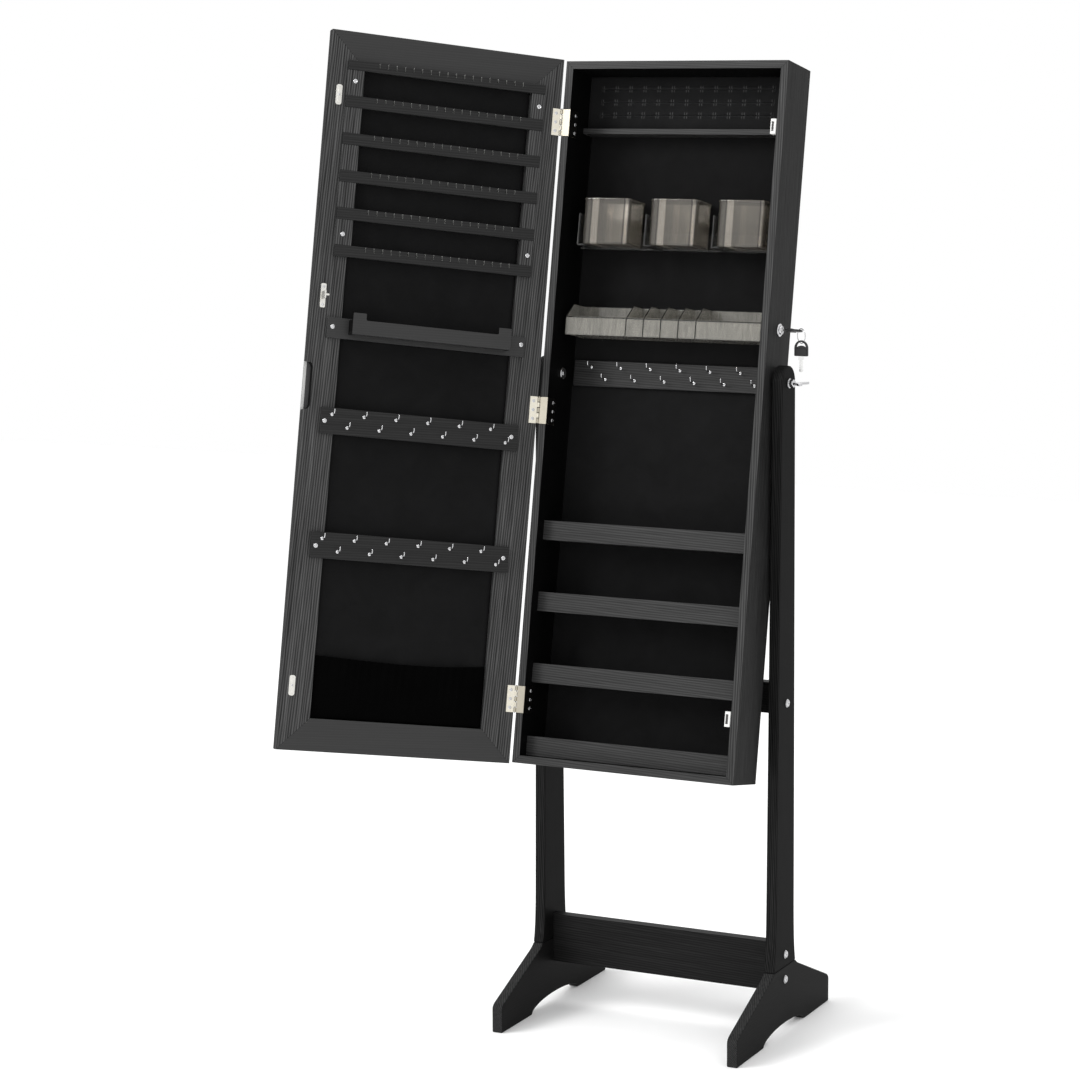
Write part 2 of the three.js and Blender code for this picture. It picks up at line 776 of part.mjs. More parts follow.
const strikeS = CAB_W / 2 + IN - 4.6;
piece(
  door,
  'lock_strike',
  join(
    box(S(strikeS - 4.2), S(strikeS + 4.2), onFace, onFace + 1.3, 671.5, 708.5),
    box(S(strikeS + 1.2), S(strikeS + 2.8), onFace + 1.2, LOCK_V - 18.5, LOCK_U - 4.5, LOCK_U + 8),
    new THREE.CylinderGeometry(1.7, 1.7, 6, 12)
      .rotateZ(Math.PI / 2)
      .translate(S(strikeS - 1), LOCK_V - 23.3 + HINGE_OFF, LOCK_U + 2)
  ),
  CHROME
);

const pouchY = padFront + GAP;
piece(
  door,
  'fabric_pouch',
  cut(
    box(S(SW + 1), S(DOOR_W - SW - 1), pouchY, FACE + 8, RW + 0.6, POUCH_TOP),
    box(S(SW + 4), S(DOOR_W - SW - 4), pouchY - 2, FACE + 6, RW + 3.6, POUCH_TOP + 5)
  ),
  FABRIC
);

// ---- place the origin under the middle of the footprint ------------------
armoire.updateMatrixWorld(true);
const bounds = new THREE.Box3().setFromObject(armoire, true);
const middle = bounds.getCenter(new THREE.Vector3());
armoire.position.set(-middle.x, -middle.y, -bounds.min.z);
armoire.updateMatrixWorld(true);

export default armoire;
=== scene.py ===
"""Tilting jewelry armoire with an open mirrored door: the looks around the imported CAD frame."""
import json
import math

import bmesh
import bpy
import numpy as np
from mathutils import Matrix, Vector
from mathutils.geometry import tessellate_polygon


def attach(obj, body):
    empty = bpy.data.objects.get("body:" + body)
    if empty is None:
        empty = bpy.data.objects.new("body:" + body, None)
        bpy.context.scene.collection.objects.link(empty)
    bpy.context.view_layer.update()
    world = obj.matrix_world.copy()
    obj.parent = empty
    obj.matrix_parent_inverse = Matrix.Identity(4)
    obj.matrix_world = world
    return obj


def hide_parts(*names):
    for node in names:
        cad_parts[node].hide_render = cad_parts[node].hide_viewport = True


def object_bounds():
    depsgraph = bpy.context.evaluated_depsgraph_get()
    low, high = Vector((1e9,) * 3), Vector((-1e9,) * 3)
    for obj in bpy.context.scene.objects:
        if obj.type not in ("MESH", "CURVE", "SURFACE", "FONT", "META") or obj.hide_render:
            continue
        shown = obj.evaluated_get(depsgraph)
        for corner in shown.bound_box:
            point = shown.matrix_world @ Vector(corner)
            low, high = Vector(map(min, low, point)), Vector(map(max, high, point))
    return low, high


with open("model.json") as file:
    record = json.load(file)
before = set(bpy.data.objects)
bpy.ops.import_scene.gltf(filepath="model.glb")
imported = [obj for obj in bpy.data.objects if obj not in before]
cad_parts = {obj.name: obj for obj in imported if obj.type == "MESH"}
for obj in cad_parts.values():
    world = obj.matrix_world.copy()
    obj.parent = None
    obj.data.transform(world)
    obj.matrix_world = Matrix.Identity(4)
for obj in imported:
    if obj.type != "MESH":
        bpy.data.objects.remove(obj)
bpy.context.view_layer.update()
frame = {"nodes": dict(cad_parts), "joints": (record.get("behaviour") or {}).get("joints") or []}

# ---- frames ----
# Shapes are made in millimetres in the frame of what they belong to, then placed in the row frame.
JOINTS = {j["name"]: j for j in frame["joints"]}
PIVOT = Vector(JOINTS["cabinet_tilt"]["pos_m"])
UP = Vector(JOINTS["door_swing"]["axis"])
TILT = math.atan2(UP.y, UP.z)
OPEN = math.radians(JOINTS["door_swing"]["range_deg"][1])
PIVOT_V, PIVOT_U = 45.5, 608.5
HINGE_AXIS = (-186.5, -1.5)
DOOR_BELOW = 2.0
HINGE_GAP = 1.5  # from the hinge axis to the door's edge


def move(x, y, z):
    return Matrix.Translation((x, y, z))


def turn(degrees, axis):
    return Matrix.Rotation(math.radians(degrees), 4, axis)


MM = Matrix.Diagonal((0.001, 0.001, 0.001, 1))
STAND = move(PIVOT.x, PIVOT.y, 0) @ MM
CAB = move(*PIVOT) @ Matrix.Rotation(-TILT, 4, "X") @ MM @ move(0, -PIVOT_V, -PIVOT_U)
DOOR = CAB @ move(*HINGE_AXIS, -DOOR_BELOW) @ Matrix.Rotation(-OPEN, 4, "Z")
DOOR_FACE = DOOR @ move(HINGE_GAP, 0, 0)  # starts at the door's hinge edge
HANG = move(*JOINTS["key_ring_swing"]["pos_m"]) @ MM

# ---- shapes: each is (points, faces) in millimetres ----


def merged(*shapes):
    points, faces = [], []
    for more_points, more_faces in shapes:
        faces += [[len(points) + i for i in face] for face in more_faces]
        points += [Vector(p) for p in more_points]
    return points, faces


def placed(matrix, shape):
    return [matrix @ Vector(p) for p in shape[0]], shape[1]


def loft(rings, closed=False):
    """Joins rings of equally many points; the two ends are capped unless the loft is closed."""
    count = len(rings[0])
    points = [p for ring in rings for p in ring]
    faces = []
    for i in range(len(rings) if closed else len(rings) - 1):
        low, high = i * count, (i + 1) % len(rings) * count
        for j in range(count):
            k = (j + 1) % count
            faces.append([low + j, low + k, high + k, high + j])
    if not closed:
        faces.append(list(range(count))[::-1])
        faces.append([len(points) - count + j for j in range(count)])
    return points, faces


def lift(axis, a, b, c):
    """A point from an outline's (a, b) and a distance c along the named axis."""
    return {"x": (c, a, b), "y": (a, c, b), "z": (a, b, c)}[axis]


def prism(outline, axis, low, high):
    return loft([[lift(axis, a, b, c) for a, b in outline] for c in (low, high)])


def box(x0, x1, y0, y1, z0, z1):
    return prism([(x0, y0), (x1, y0), (x1, y1), (x0, y1)], "z", z0, z1)


def plate(outline, holes, axis, low, high):
    """A prism with holes through it."""
    loops = [[Vector((a, b, 0)) for a, b in loop] for loop in (outline, *holes)]
    flat = [p for loop in loops for p in loop]
    caps = tessellate_polygon(loops)
    count, start = len(flat), 0
    points = [lift(axis, p.x, p.y, c) for c in (low, high) for p in flat]
    faces = [list(t)[::-1] for t in caps] + [[count + i for i in t] for t in caps]
    for loop in loops:
        size = len(loop)
        for j in range(size):
            a, b = start + j, start + (j + 1) % size
            faces.append([a, b, count + b, count + a])
        start += size
    return points, faces


def arc(cx, cy, rx, ry, start, end, steps=12):
    """Points on an ellipse from start to end, in degrees."""
    angles = np.radians(np.linspace(start, end, steps + 1))
    return [(cx + rx * math.cos(t), cy + ry * math.sin(t)) for t in angles]


def bend(p, q, r, steps=8):
    """Points on the quadratic curve from p to r, pulled towards q."""
    out = []
    for t in np.linspace(0, 1, steps + 1):
        a, b, c = (1 - t) ** 2, 2 * t * (1 - t), t * t
        out.append((a * p[0] + b * q[0] + c * r[0], a * p[1] + b * q[1] + c * r[1]))
    return out


def rounded(x0, x1, y0, y1, r, far=None, steps=6):
    """A rectangle with rounded corners; far is the radius of the two corners at y1."""
    far = r if far is None else far
    return (
        arc(x0 + r, y0 + r, r, r, 180, 270, steps)
        + arc(x1 - r, y0 + r, r, r, 270, 360, steps)
        + arc(x1 - far, y1 - far, far, far, 0, 90, steps)
        + arc(x0 + far, y1 - far, far, far, 90, 180, steps)
    )


def circle(cx, cy, r, steps=32):
    return arc(cx, cy, r, r, 0, 360, steps)[:-1]


def turned(profile, sides=32):
    """A solid of revolution about Z, from (radius, height) pairs."""
    turns = [2 * math.pi * k / sides for k in range(sides)]
    return loft([[(r * math.cos(t), r * math.sin(t), z) for t in turns] for r, z in profile])


def tube(path, radius, sides=12, closed=False):
    """A round wire along a path, with domed ends unless it is closed."""
    line = [Vector(p) for p in path]
    count = len(line)
    radii = [radius] * count
    if not closed:
        first, last = (line[1] - line[0]).normalized(), (line[-1] - line[-2]).normalized()
        domes = [(0.0, 0.55), (0.45, 0.86), (0.75, 0.5), (0.9, 0.15)]
        line = [line[0] - first * radius * a for a, _ in domes[:0:-1]] + line
        line += [line[-1] + last * radius * a for a, _ in domes[1:]]
        shares = [b for _, b in domes[1:]]
        radii = [radius * b for b in shares[::-1]] + radii + [radius * b for b in shares]
        count = len(line)
    rings = []
    side = None
    for i in range(count):
        ahead = line[(i + 1) % count] if closed or i < count - 1 else line[i]
        behind = line[i - 1] if closed or i > 0 else line[i]
        along = (ahead - behind).normalized()
        if side is None:
            side = along.orthogonal().normalized()
        side = (side - along * side.dot(along)).normalized()
        other = along.cross(side)
        turns = [2 * math.pi * k / sides for k in range(sides)]
        rings.append([line[i] + (side * math.cos(t) + other * math.sin(t)) * radii[i] for t in turns])
    return loft(rings, closed)


def grid(nx, nz):
    """The faces of a net of nx by nz points."""
    return [
        [j * nx + i, j * nx + i + 1, (j + 1) * nx + i + 1, (j + 1) * nx + i]
        for j in range(nz - 1)
        for i in range(nx - 1)
    ]


def slab(x0, x1, z0, z1, nx, nz, front, back):
    """A closed block in x and z whose face towards -y follows front(x, z)."""
    xs, zs = np.linspace(x0, x1, nx), np.linspace(z0, z1, nz)
    points = [(x, front(x, z), z) for z in zs for x in xs]
    faces = grid(nx, nz)
    rim = list(range(nx)) + [j * nx + nx - 1 for j in range(1, nz)]
    rim += list(range(nx * nz - 2, nx * nz - nx - 1, -1)) + [j * nx for j in range(nz - 2, 0, -1)]
    start = len(points)
    points += [(points[i][0], back, points[i][2]) for i in rim]
    for k, i in enumerate(rim):
        j = (k + 1) % len(rim)
        faces.append([i, start + k, start + j, rim[j]])
    faces.append([start + k for k in range(len(rim))])
    return points, faces


# ---- pieces ----


def new_object(name, data):
    obj = bpy.data.objects.new(name, data)
    bpy.context.scene.collection.objects.link(obj)
    return obj


def soften(obj, width, segments=3):
    """Rounds the edges and keeps the broad faces flat."""
    if width:
        bevel = obj.modifiers.new("rounded_edges", "BEVEL")
        bevel.width, bevel.segments = width / 1000, segments
        bevel.limit_method, bevel.angle_limit = "ANGLE", math.radians(32)
        bevel.use_clamp_overlap = False
    normals = obj.modifiers.new("flat_faces", "WEIGHTED_NORMAL")
    normals.keep_sharp = True
    normals.weight = 80


def piece(name, at, shape, material, body, stands_for=(), edge=0.0, crease=40, second=None, slot=None):
    """A mesh that rides on a body; second is (material, test of a face's middle and normal)."""
    points, faces = shape
    mesh = bpy.data.meshes.new(name)
    mesh.from_pydata([at @ Vector(p) for p in points], [], faces)
    outward = bmesh.new()
    outward.from_mesh(mesh)
    bmesh.ops.recalc_face_normals(outward, faces=outward.faces)
    outward.to_mesh(mesh)
    outward.free()
    mesh.polygons.foreach_set("use_smooth", [True] * len(mesh.polygons))
    mesh.set_sharp_from_angle(angle=math.radians(crease))
    obj = new_object(name, mesh)
    mesh.materials.append(material)
    if second:
        mesh.materials.append(second[0])
        back = at.inverted()
        for face in mesh.polygons:
            way = (back.to_3x3() @ face.normal).normalized()
            face.material_index = int(second[1](back @ face.center, way))
    if edge:
        mesh.set_sharp_from_angle(angle=math.pi)
        soften(obj, edge)
    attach(obj, body)
    if stands_for:
        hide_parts(*stands_for)
    return obj


def cab_piece(name, shape, material, *more, **settings):
    return piece(name, CAB, shape, material, "cabinet", *more, **settings)


def door_piece(name, shape, material, *more, **settings):
    return piece(name, DOOR_FACE, shape, material, "door", *more, **settings)


def finish_node(name, material, edge):
    """Gives its material and rounded edges to a CAD node that keeps its shape."""
    obj = frame["nodes"][name]
    obj.data.materials.clear()
    obj.data.materials.append(material)
    weld = obj.modifiers.new("shared_corners", "WELD")
    weld.merge_threshold = 0.00001
    soften(obj, edge)


# ---- materials ----


def node(tree, kind, inputs=None, **settings):
    made = tree.nodes.new("ShaderNode" + kind)
    for key, value in settings.items():
        setattr(made, key, value)
    for key, value in (inputs or {}).items():
        if isinstance(value, bpy.types.NodeSocket):
            tree.links.new(value, made.inputs[key])
        else:
            made.inputs[key].default_value = value
    return made


def ramp(tree, value, *stops):
    """A colour ramp through (position, grey or colour) stops."""
    made = node(tree, "ValToRGB", {"Fac": value})
    elements = made.color_ramp.elements
    elements[0].position, elements[1].position = stops[0][0], stops[-1][0]
    for position, _ in stops[1:-1]:
        elements.new(position)
    for element, (_, colour) in zip(elements, stops):
        rgb = colour if isinstance(colour, tuple) else (colour,) * 3
        element.color = (*rgb, 1)
    return made.outputs["Color"]


def spread(tree, value, low, high):
    """Turns a 0 to 1 value into one from low to high."""
    made = node(tree, "MapRange", {"Value": value, "To Min": low, "To Max": high})
    return made.outputs["Result"]


def blended(tree, amount, first, second, kind="MIX"):
    made = tree.nodes.new("ShaderNodeMix")
    made.data_type, made.blend_type = "RGBA", kind
    for index, value in ((0, amount), (6, first), (7, second)):
        if isinstance(value, bpy.types.NodeSocket):
            tree.links.new(value, made.inputs[index])
        else:
            made.inputs[index].default_value = value if index == 0 else (*value, 1)
    return made.outputs[2]


def local_place(tree, at, scale=(1, 1, 1)):
    """The place on the object, in metres along the axes of one of the frames above."""
    coordinates = node(tree, "TexCoord").outputs["Object"]
    rotation = at.inverted().to_euler()
    turned_to = node(tree, "Mapping", {"Vector": coordinates, "Rotation": rotation})
    stretched = node(tree, "Mapping", {"Vector": turned_to.outputs["Vector"], "Scale": scale})
    return stretched.outputs["Vector"]


def noise(tree, place, scale, detail=4.0, roughness=0.55, distortion=0.0):
    inputs = {"Vector": place, "Scale": scale, "Detail": detail}
    inputs.update({"Roughness": roughness, "Distortion": distortion})
    return node(tree, "TexNoise", inputs).outputs["Fac"]


MID_GREY = (0.5, 0.5, 0.5, 1)


def material(name, slot, **sockets):
    """A new material, with single values set straight on its shader; slot is not used."""
    made = bpy.data.materials.new(name)
    made.use_nodes = True
    shader = made.node_tree.nodes["Principled BSDF"]
    shader.inputs["Base Color"].default_value = MID_GREY
    for key, value in sockets.items():
        shader.inputs[key.replace("_", " ")].default_value = value
    made.diffuse_color = MID_GREY
    return made, made.node_tree, shader.inputs


def feed(tree, inputs, colour, roughness):
    tree.links.new(colour, inputs["Base Color"])
    tree.links.new(roughness, inputs["Roughness"])


def bump(tree, inputs, height, strength, distance):
    made = node(tree, "Bump", {"Height": height, "Strength": strength, "Distance": distance})
    tree.links.new(made.outputs["Normal"], inputs["Normal"])


def wood_foil(name, at, along, tone, contrast, gloss=0.25):
    """Satin black foil: printed bands, fine streaks and pores along one axis of a frame."""
    made, tree, inputs = material(name, "wood_foil", Specular_IOR_Level=gloss)
    place, fine_place = [
        local_place(tree, at, [share if axis == along else 1 for axis in "xyz"]) for share in (0.04, 0.012)
    ]
    shape = {"Vector": place, "Scale": 165, "Distortion": 3.2, "Detail": 3, "Detail Scale": 1.1}
    bands = node(tree, "TexWave", shape, bands_direction="DIAGONAL").outputs["Fac"]
    streaks = noise(tree, fine_place, 420, 5, 0.62, 0.25)
    pores = noise(tree, place, 1500, 2, 0.5)
    lines = ramp(tree, streaks, (0.36, 0.0), (0.5, 0.5), (0.56, 0.42), (0.68, 1.0))
    grain = blended(tree, 0.5, lines, bands)
    low, high = tone * (1 - contrast), tone * (1 + 1.5 * contrast)
    colour = ramp(tree, grain, (0.12, low), (0.5, tone), (0.9, high))
    feed(tree, inputs, colour, spread(tree, grain, 0.4, 0.6))
    relief = blended(tree, 0.35, grain, pores)
    bump(tree, inputs, relief, 0.5 * contrast, 0.0004)
    return made


def velvet(name, at, base, sheen, fold_highlight=None):
    """Short pile; the named mesh attribute, if given, marks where a painted highlight makes the pile paler,
    along folds that catch the light.
    """
    settings = {"Sheen_Weight": sheen, "Sheen_Roughness": 0.45, "Sheen_Tint": (0.75, 0.75, 0.78, 1)}
    made, tree, inputs = material(name, "velvet", Specular_IOR_Level=0.12, **settings)
    place = local_place(tree, at)
    pile = noise(tree, place, 2600, 2, 0.6)
    nap = noise(tree, place, 22, 5, 0.6, 0.6)
    lying, standing = ramp(tree, nap, (0.3, 0.35), (0.7, 1.0)), ramp(tree, pile, (0.3, 0.2), (0.7, 1.0))
    shade = blended(tree, 0.5, lying, standing)
    colour = ramp(tree, shade, (0.2, (base * 0.5,) * 3), (0.9, (base * 1.5, base * 1.5, base * 1.55)))
    if fold_highlight:
        amount = node(tree, "Attribute", attribute_name=fold_highlight).outputs["Fac"]
        # painted highlight: the pile turns paler where the folds catch the light
        colour = blended(tree, amount, colour, (base * 9,) * 3)
    feed(tree, inputs, colour, spread(tree, pile, 0.82, 1.0))
    bump(tree, inputs, pile, 0.5, 0.0005)
    return made


def pouch_cloth(name, at):
    """Thin matt cloth: an even weave of two sets of threads."""
    made, tree, inputs = material(name, "pouch_fabric", Sheen_Roughness=0.5, Specular_IOR_Level=0.02)
    place = local_place(tree, at)
    shape = {"Vector": place, "Scale": 420, "Distortion": 0.6, "Detail": 2, "Detail Scale": 2}
    weave = [node(tree, "TexWave", shape, bands_direction=way).outputs["Fac"] for way in ("X", "Z")]
    threads = blended(tree, 0.5, weave[0], weave[1])
    worn = noise(tree, place, 35, 4, 0.55, 0.3)
    mixed = blended(tree, 0.4, threads, worn)
    feed(tree, inputs, ramp(tree, mixed, (0.25, 0.0003), (0.8, 0.0012)), spread(tree, threads, 0.72, 0.9))
    bump(tree, inputs, threads, 0.4, 0.0003)
    return made


def metal(name, at, colour, roughness, brushed=(1, 1, 1), wear=0.06, slot="chromed_metal"):
    made, tree, inputs = material(name, slot, Metallic=1.0)
    place = local_place(tree, at, brushed)
    grain = noise(tree, place, 900, 3, 0.6)
    spots = noise(tree, local_place(tree, at), 180, 4, 0.6)
    dull = tuple(c * 0.82 for c in colour)
    tint = blended(tree, spots, dull, colour)
    amount = blended(tree, 0.5, grain, spots)
    feed(tree, inputs, tint, spread(tree, amount, roughness - wear, roughness + wear))
    bump(tree, inputs, grain, 0.06, 0.0002)
    return made


def mirror_glass(name, at):
    made, tree, inputs = material(name, "mirror_glass", Metallic=1.0, Coat_Weight=0.6, Coat_Roughness=0.01)
    place = local_place(tree, at)
    haze = noise(tree, place, 9, 5, 0.6)
    colour = ramp(tree, haze, (0.2, (0.70, 0.735, 0.73)), (0.8, (0.76, 0.785, 0.78)))
    feed(tree, inputs, colour, spread(tree, haze, 0.012, 0.03))
    return made


def plastic(name, at, slot, colour, roughness, transmission=0.0, variation=0.08, drawn=(1, 1, 1)):
    """Moulded plastic; drawn stretches its flow marks along the axes of the frame. On the tray the stronger,
    stretched marks are also painted light, bright streaks like caustics in its cells.
    """
    made, tree, inputs = material(name, slot, Transmission_Weight=transmission, IOR=1.49)
    place = local_place(tree, at)
    flow = noise(tree, local_place(tree, at, drawn), 30, 4, 0.55, 0.8)
    fine = noise(tree, place, 1400, 2, 0.5)
    light = tuple(min(1.0, c * (1 + variation)) for c in colour)
    dark = tuple(c * (1 - variation) for c in colour)
    tint = ramp(tree, flow, (0.3, dark), (0.7, light))
    mixed = blended(tree, 0.4, flow, fine)
    feed(tree, inputs, tint, spread(tree, mixed, roughness * 0.7, roughness * 1.4))
    bump(tree, inputs, fine, 0.05, 0.0002)
    return made


BIN_PITCH, BIN_SHIFT, BIN_HALF = 113.0, 4.0, 41.0


def bin_plastic(name, at):
    """Smoky clear plastic with painted highlights and painted shade in bands across each bin's face."""
    made, tree, inputs = material(name, "smoky_plastic", Transmission_Weight=0.86, IOR=1.49)
    place = local_place(tree, at)
    across = node(tree, "SeparateXYZ", {"Vector": place}).outputs["X"]
    start = (1.5 * BIN_PITCH - BIN_SHIFT) / 1000 - PIVOT.x
    moved = node(tree, "Math", {0: across, 1: start}, operation="ADD").outputs[0]
    bins = node(tree, "Math", {0: moved, 1: 1000 / BIN_PITCH}, operation="MULTIPLY").outputs[0]
    share = node(tree, "Math", {0: bins}, operation="FRACT").outputs[0]
    low, wide = 0.5 - BIN_HALF / BIN_PITCH, 2 * BIN_HALF / BIN_PITCH
    # painted light across each bin: a bright strip near its left corner and a white line near its right,
    # with painted shade in the darker bands at its edges
    left = [(0.0, 0.16), (0.15, 0.42), (0.17, 0.42), (0.2, 0.2), (0.22, 1.0), (0.34, 1.0), (0.355, 0.42)]
    right = [(0.86, 0.44), (0.87, 0.16), (0.885, 0.16), (0.895, 0.7), (0.94, 0.7), (0.95, 0.2), (1.0, 0.55)]
    painted_light_stops = [(low + wide * a, (b, b * 0.93, b * 0.82)) for a, b in (*left, (0.55, 0.46), *right)]
    bands = ramp(tree, share, *painted_light_stops)
    flow = noise(tree, local_place(tree, at, (4, 4, 1)), 30, 4, 0.55, 0.8)
    shade = ramp(tree, flow, (0.3, 0.93), (0.7, 1.0))
    feed(tree, inputs, blended(tree, 1.0, bands, shade, "MULTIPLY"), spread(tree, flow, 0.04, 0.07))
    return made


# a lighter copy of the side boards' foil for their front edges: painted light on the faces towards the front
FOIL_CAB_LIT_FRONT = wood_foil("foil_cabinet_lit_front", CAB, "z", 0.026, 0.85)
FOIL_CAB_SIDE = wood_foil("foil_cabinet_side", CAB, "z", 0.0165, 1.0, 0.04)
FOIL_CAB_ACROSS = wood_foil("foil_cabinet_across", CAB, "x", 0.0235, 0.55)
FOIL_CAB_RAIL = wood_foil("foil_cabinet_rail", CAB, "x", 0.016, 0.75)
# near-black copy of the cabinet foil for the faces inside the carcass: painted shade
FOIL_CAB_SHADED_INSIDE = wood_foil("foil_cabinet_inside_painted_shade", CAB, "z", 0.0022, 0.5, 0.05)
FOIL_DOOR_UP = wood_foil("foil_door_upright", DOOR, "z", 0.036, 0.95)
# near-black copy of the door foil for side faces that should read dark: painted shade
FOIL_DOOR_SHADED_EDGE = wood_foil("foil_door_edge_painted_shade", DOOR, "z", 0.003, 0.5, 0.05)
FOIL_DOOR_ACROSS = wood_foil("foil_door_across", DOOR, "x", 0.027, 0.15)
FOIL_DOOR_RAIL = wood_foil("foil_door_rail", DOOR, "x", 0.013, 0.45, 0.2)
FOIL_STAND_UP = wood_foil("foil_stand_upright", STAND, "z", 0.0052, 0.7, 0.02)
# lighter copies of the stand's foil for the uprights' and feet's front faces: painted light
FOIL_STAND_LIT_FRONT = wood_foil("foil_stand_lit_front", STAND, "z", 0.0105, 0.7, 0.05)
FOIL_STAND_ACROSS = wood_foil("foil_stand_across", STAND, "x", 0.008, 0.6, 0.1)
FOIL_FOOT = wood_foil("foil_foot", STAND, "y", 0.0068, 0.5, 0.03)
FOIL_FOOT_LIT_FRONT = wood_foil("foil_foot_lit_front", STAND, "y", 0.022, 0.6, 0.05)
VELVET_CAB = velvet("velvet_cabinet", CAB, 0.0048, 0.06)
# the ring pad's velvet takes a painted highlight along its slits
VELVET_PAD = velvet("velvet_ring_pad", CAB, 0.007, 0.09, "fold_highlight")
VELVET_DOOR = velvet("velvet_door", DOOR, 0.0045, 0.06)
POUCH_CLOTH = pouch_cloth("pouch_cloth", DOOR)
CHROME = metal("chrome", CAB, (0.62, 0.62, 0.63), 0.14)
HINGE_STEEL = metal("hinge_steel", CAB, (0.5, 0.465, 0.385), 0.38, (1, 1, 0.08), 0.08, "hinge_metal")
# a lighter copy of the hinge steel for the door's leaf: painted light
HINGE_DOOR_LEAF_LIT = metal("hinge_door_leaf_lit", DOOR, (0.8, 0.76, 0.655), 0.38, (1, 1, 0.08), 0.08, "hinge_metal")
# dark copy of the hinge metal: painted shade on the pin and on the leaf inside the cabinet
HINGE_SHADED = metal("hinge_painted_shade", CAB, (0.05, 0.047, 0.042), 0.4, (1, 1, 0.08), 0.08, "hinge_metal")
BRIGHT_PLATE = metal("bright_plate", DOOR, (0.74, 0.73, 0.69), 0.45, (0.1, 1, 1), 0.08)
MIRROR = mirror_glass("mirror_glass", DOOR)
SMOKE = bin_plastic("smoky_plastic", CAB)
# the tray's stronger, stretched variation is flow marks and also painted light: bright caustic-like streaks
# in its cells
TRAY_SMOKE = plastic("tray_plastic", CAB, "smoky_plastic", (0.47, 0.455, 0.41), 0.05, 0.7, 0.2, (7, 3, 1))
# near-black plastic for lines of painted shade along the tray's edges
TRAY_EDGE_SHADE = plastic("tray_arris", CAB, "smoky_plastic", (0.02, 0.02, 0.018), 0.2, 0.3)
CLEAR = plastic("clear_plastic", CAB, "clear_plastic", (0.45, 0.45, 0.44), 0.06, 0.95)
WHITE = plastic("white_plastic", CAB, "white_plastic", (0.72, 0.72, 0.70), 0.4)
# light grey for the walls and floors of the rack's slits
SLIT = plastic("slit_wall_grey", DOOR, "wood_foil", (0.30, 0.30, 0.29), 0.7)
BLACK = plastic("key_plastic", CAB, "key_plastic", (0.008, 0.008, 0.0085), 0.38)
KEY_STEEL = metal("key_steel", CAB, (0.93, 0.93, 0.92), 0.16)
# the back paint is darkened as painted shade for the floor of the finger notch; the rim is a lighter strip
# along the free edge, painted light on the lit edge of the paint and also bare glass there
MIRROR_PAINT_SHADED = plastic("mirror_back_paint_shaded", DOOR, "mirror_glass", (0.045, 0.045, 0.046), 0.6)
MIRROR_RIM_LIT = plastic("mirror_rim_lit", DOOR, "mirror_glass", (0.5, 0.5, 0.49), 0.5)
GLASS_EDGE = plastic("mirror_ground_edge", DOOR, "mirror_glass", (0.010, 0.013, 0.012), 0.35)
MAGNET = plastic("magnet_rubber", CAB, "white_plastic", (0.03, 0.028, 0.026), 0.6)

# ---- fasteners ----


def facing(x, y, z, way):
    """Puts a shape made along +Z at a point, looking along one of the six axes."""
    quarter = {
        "+x": turn(90, "Y"), "-x": turn(-90, "Y"), "+y": turn(-90, "X"),
        "-y": turn(90, "X"), "+z": Matrix.Identity(4), "-z": turn(180, "X"),
    }
    return move(x, y, z) @ quarter[way]


def cross_recess(r):
    """The four-armed outline of a cross-head recess."""
    arm, half = r * 0.62, r * 0.13
    corner = [(arm, -half), (arm, half), (half, half)]
    points = []
    for k in range(4):
        rotation = Matrix.Rotation(k * math.pi / 2, 2)
        points += [tuple(rotation @ Vector(p)) for p in corner]
    return points


def screw_head(r, top, sides=28):
    """A domed head with a sunk cross, its face towards +Z and its seat at z = 0."""
    rim = circle(0, 0, r, sides)
    slot = cross_recess(r)
    rings = [[(x, y, 0) for x, y in rim]]
    for share, z in ((1.0, 0.35), (0.93, 0.72), (0.8, 0.95)):
        rings.append([(x * share, y * share, top * z) for x, y in rim])
    points, faces = loft(rings)
    faces.pop()
    outer = len(points) - sides
    start = len(points)
    floor = top * 0.25
    points = points + [(x, y, top) for x, y in slot] + [(x * 0.55, y * 0.55, floor) for x, y in slot]
    loops = [[Vector((*points[outer + j][:2], 0)) for j in range(sides)]]
    loops.append([Vector((x, y, 0)) for x, y in slot])
    index = [outer + j for j in range(sides)] + [start + j for j in range(len(slot))]
    faces += [[index[i] for i in t] for t in tessellate_polygon(loops)]
    count = len(slot)
    for j in range(count):
        k = (j + 1) % count
        faces.append([start + j, start + k, start + count + k, start + count + j])
    faces.append([start + count + j for j in range(count)])
    return points, faces


def screws(places, way, r=3.6, height=1.3):
    return merged(*[placed(facing(*p, way), screw_head(r, height)) for p in places])


# ---- stand ----
UPRIGHT_IN, UPRIGHT_OUT = 189.6, 206.8
PIVOT_Z = PIVOT.z * 1000
SEAM_Z = 107.0
BOLT_Z = {"stretcher_bolt_upper": 127.0, "stretcher_bolt_lower": 87.0, "crossbar_bolt": 524.0}
SIDES = (("left", -1), ("right", 1))


def between(sign, a, b):
    return (a, b) if sign > 0 else (-b, -a)


def upright_outline():
    flare = SEAM_Z + 88
    right = bend((45, SEAM_Z + 0.3), (38, SEAM_Z + 22), (37, flare), 12)
    left = [(-y, z) for y, z in right[::-1]]
    return right + arc(0, PIVOT_Z, 26.5, 26.5, 0, 180, 36) + left


def foot_outline():
    right = [(190, 0), (190, 36)] + bend((190, 36), (190, 43), (181, 47), 8)[1:]
    right += [(64, 96)] + bend((64, 96), (51, 101), (45, SEAM_Z), 8)[1:]
    left = [(-y, z) for y, z in right[::-1]]
    return right + left + arc(0, 0, 84, 16, 180, 0, 32)


# the faces towards the front, which get the lighter copies of the stand's foil: painted light
def faces_front(_, way):
    return way.y < -0.3


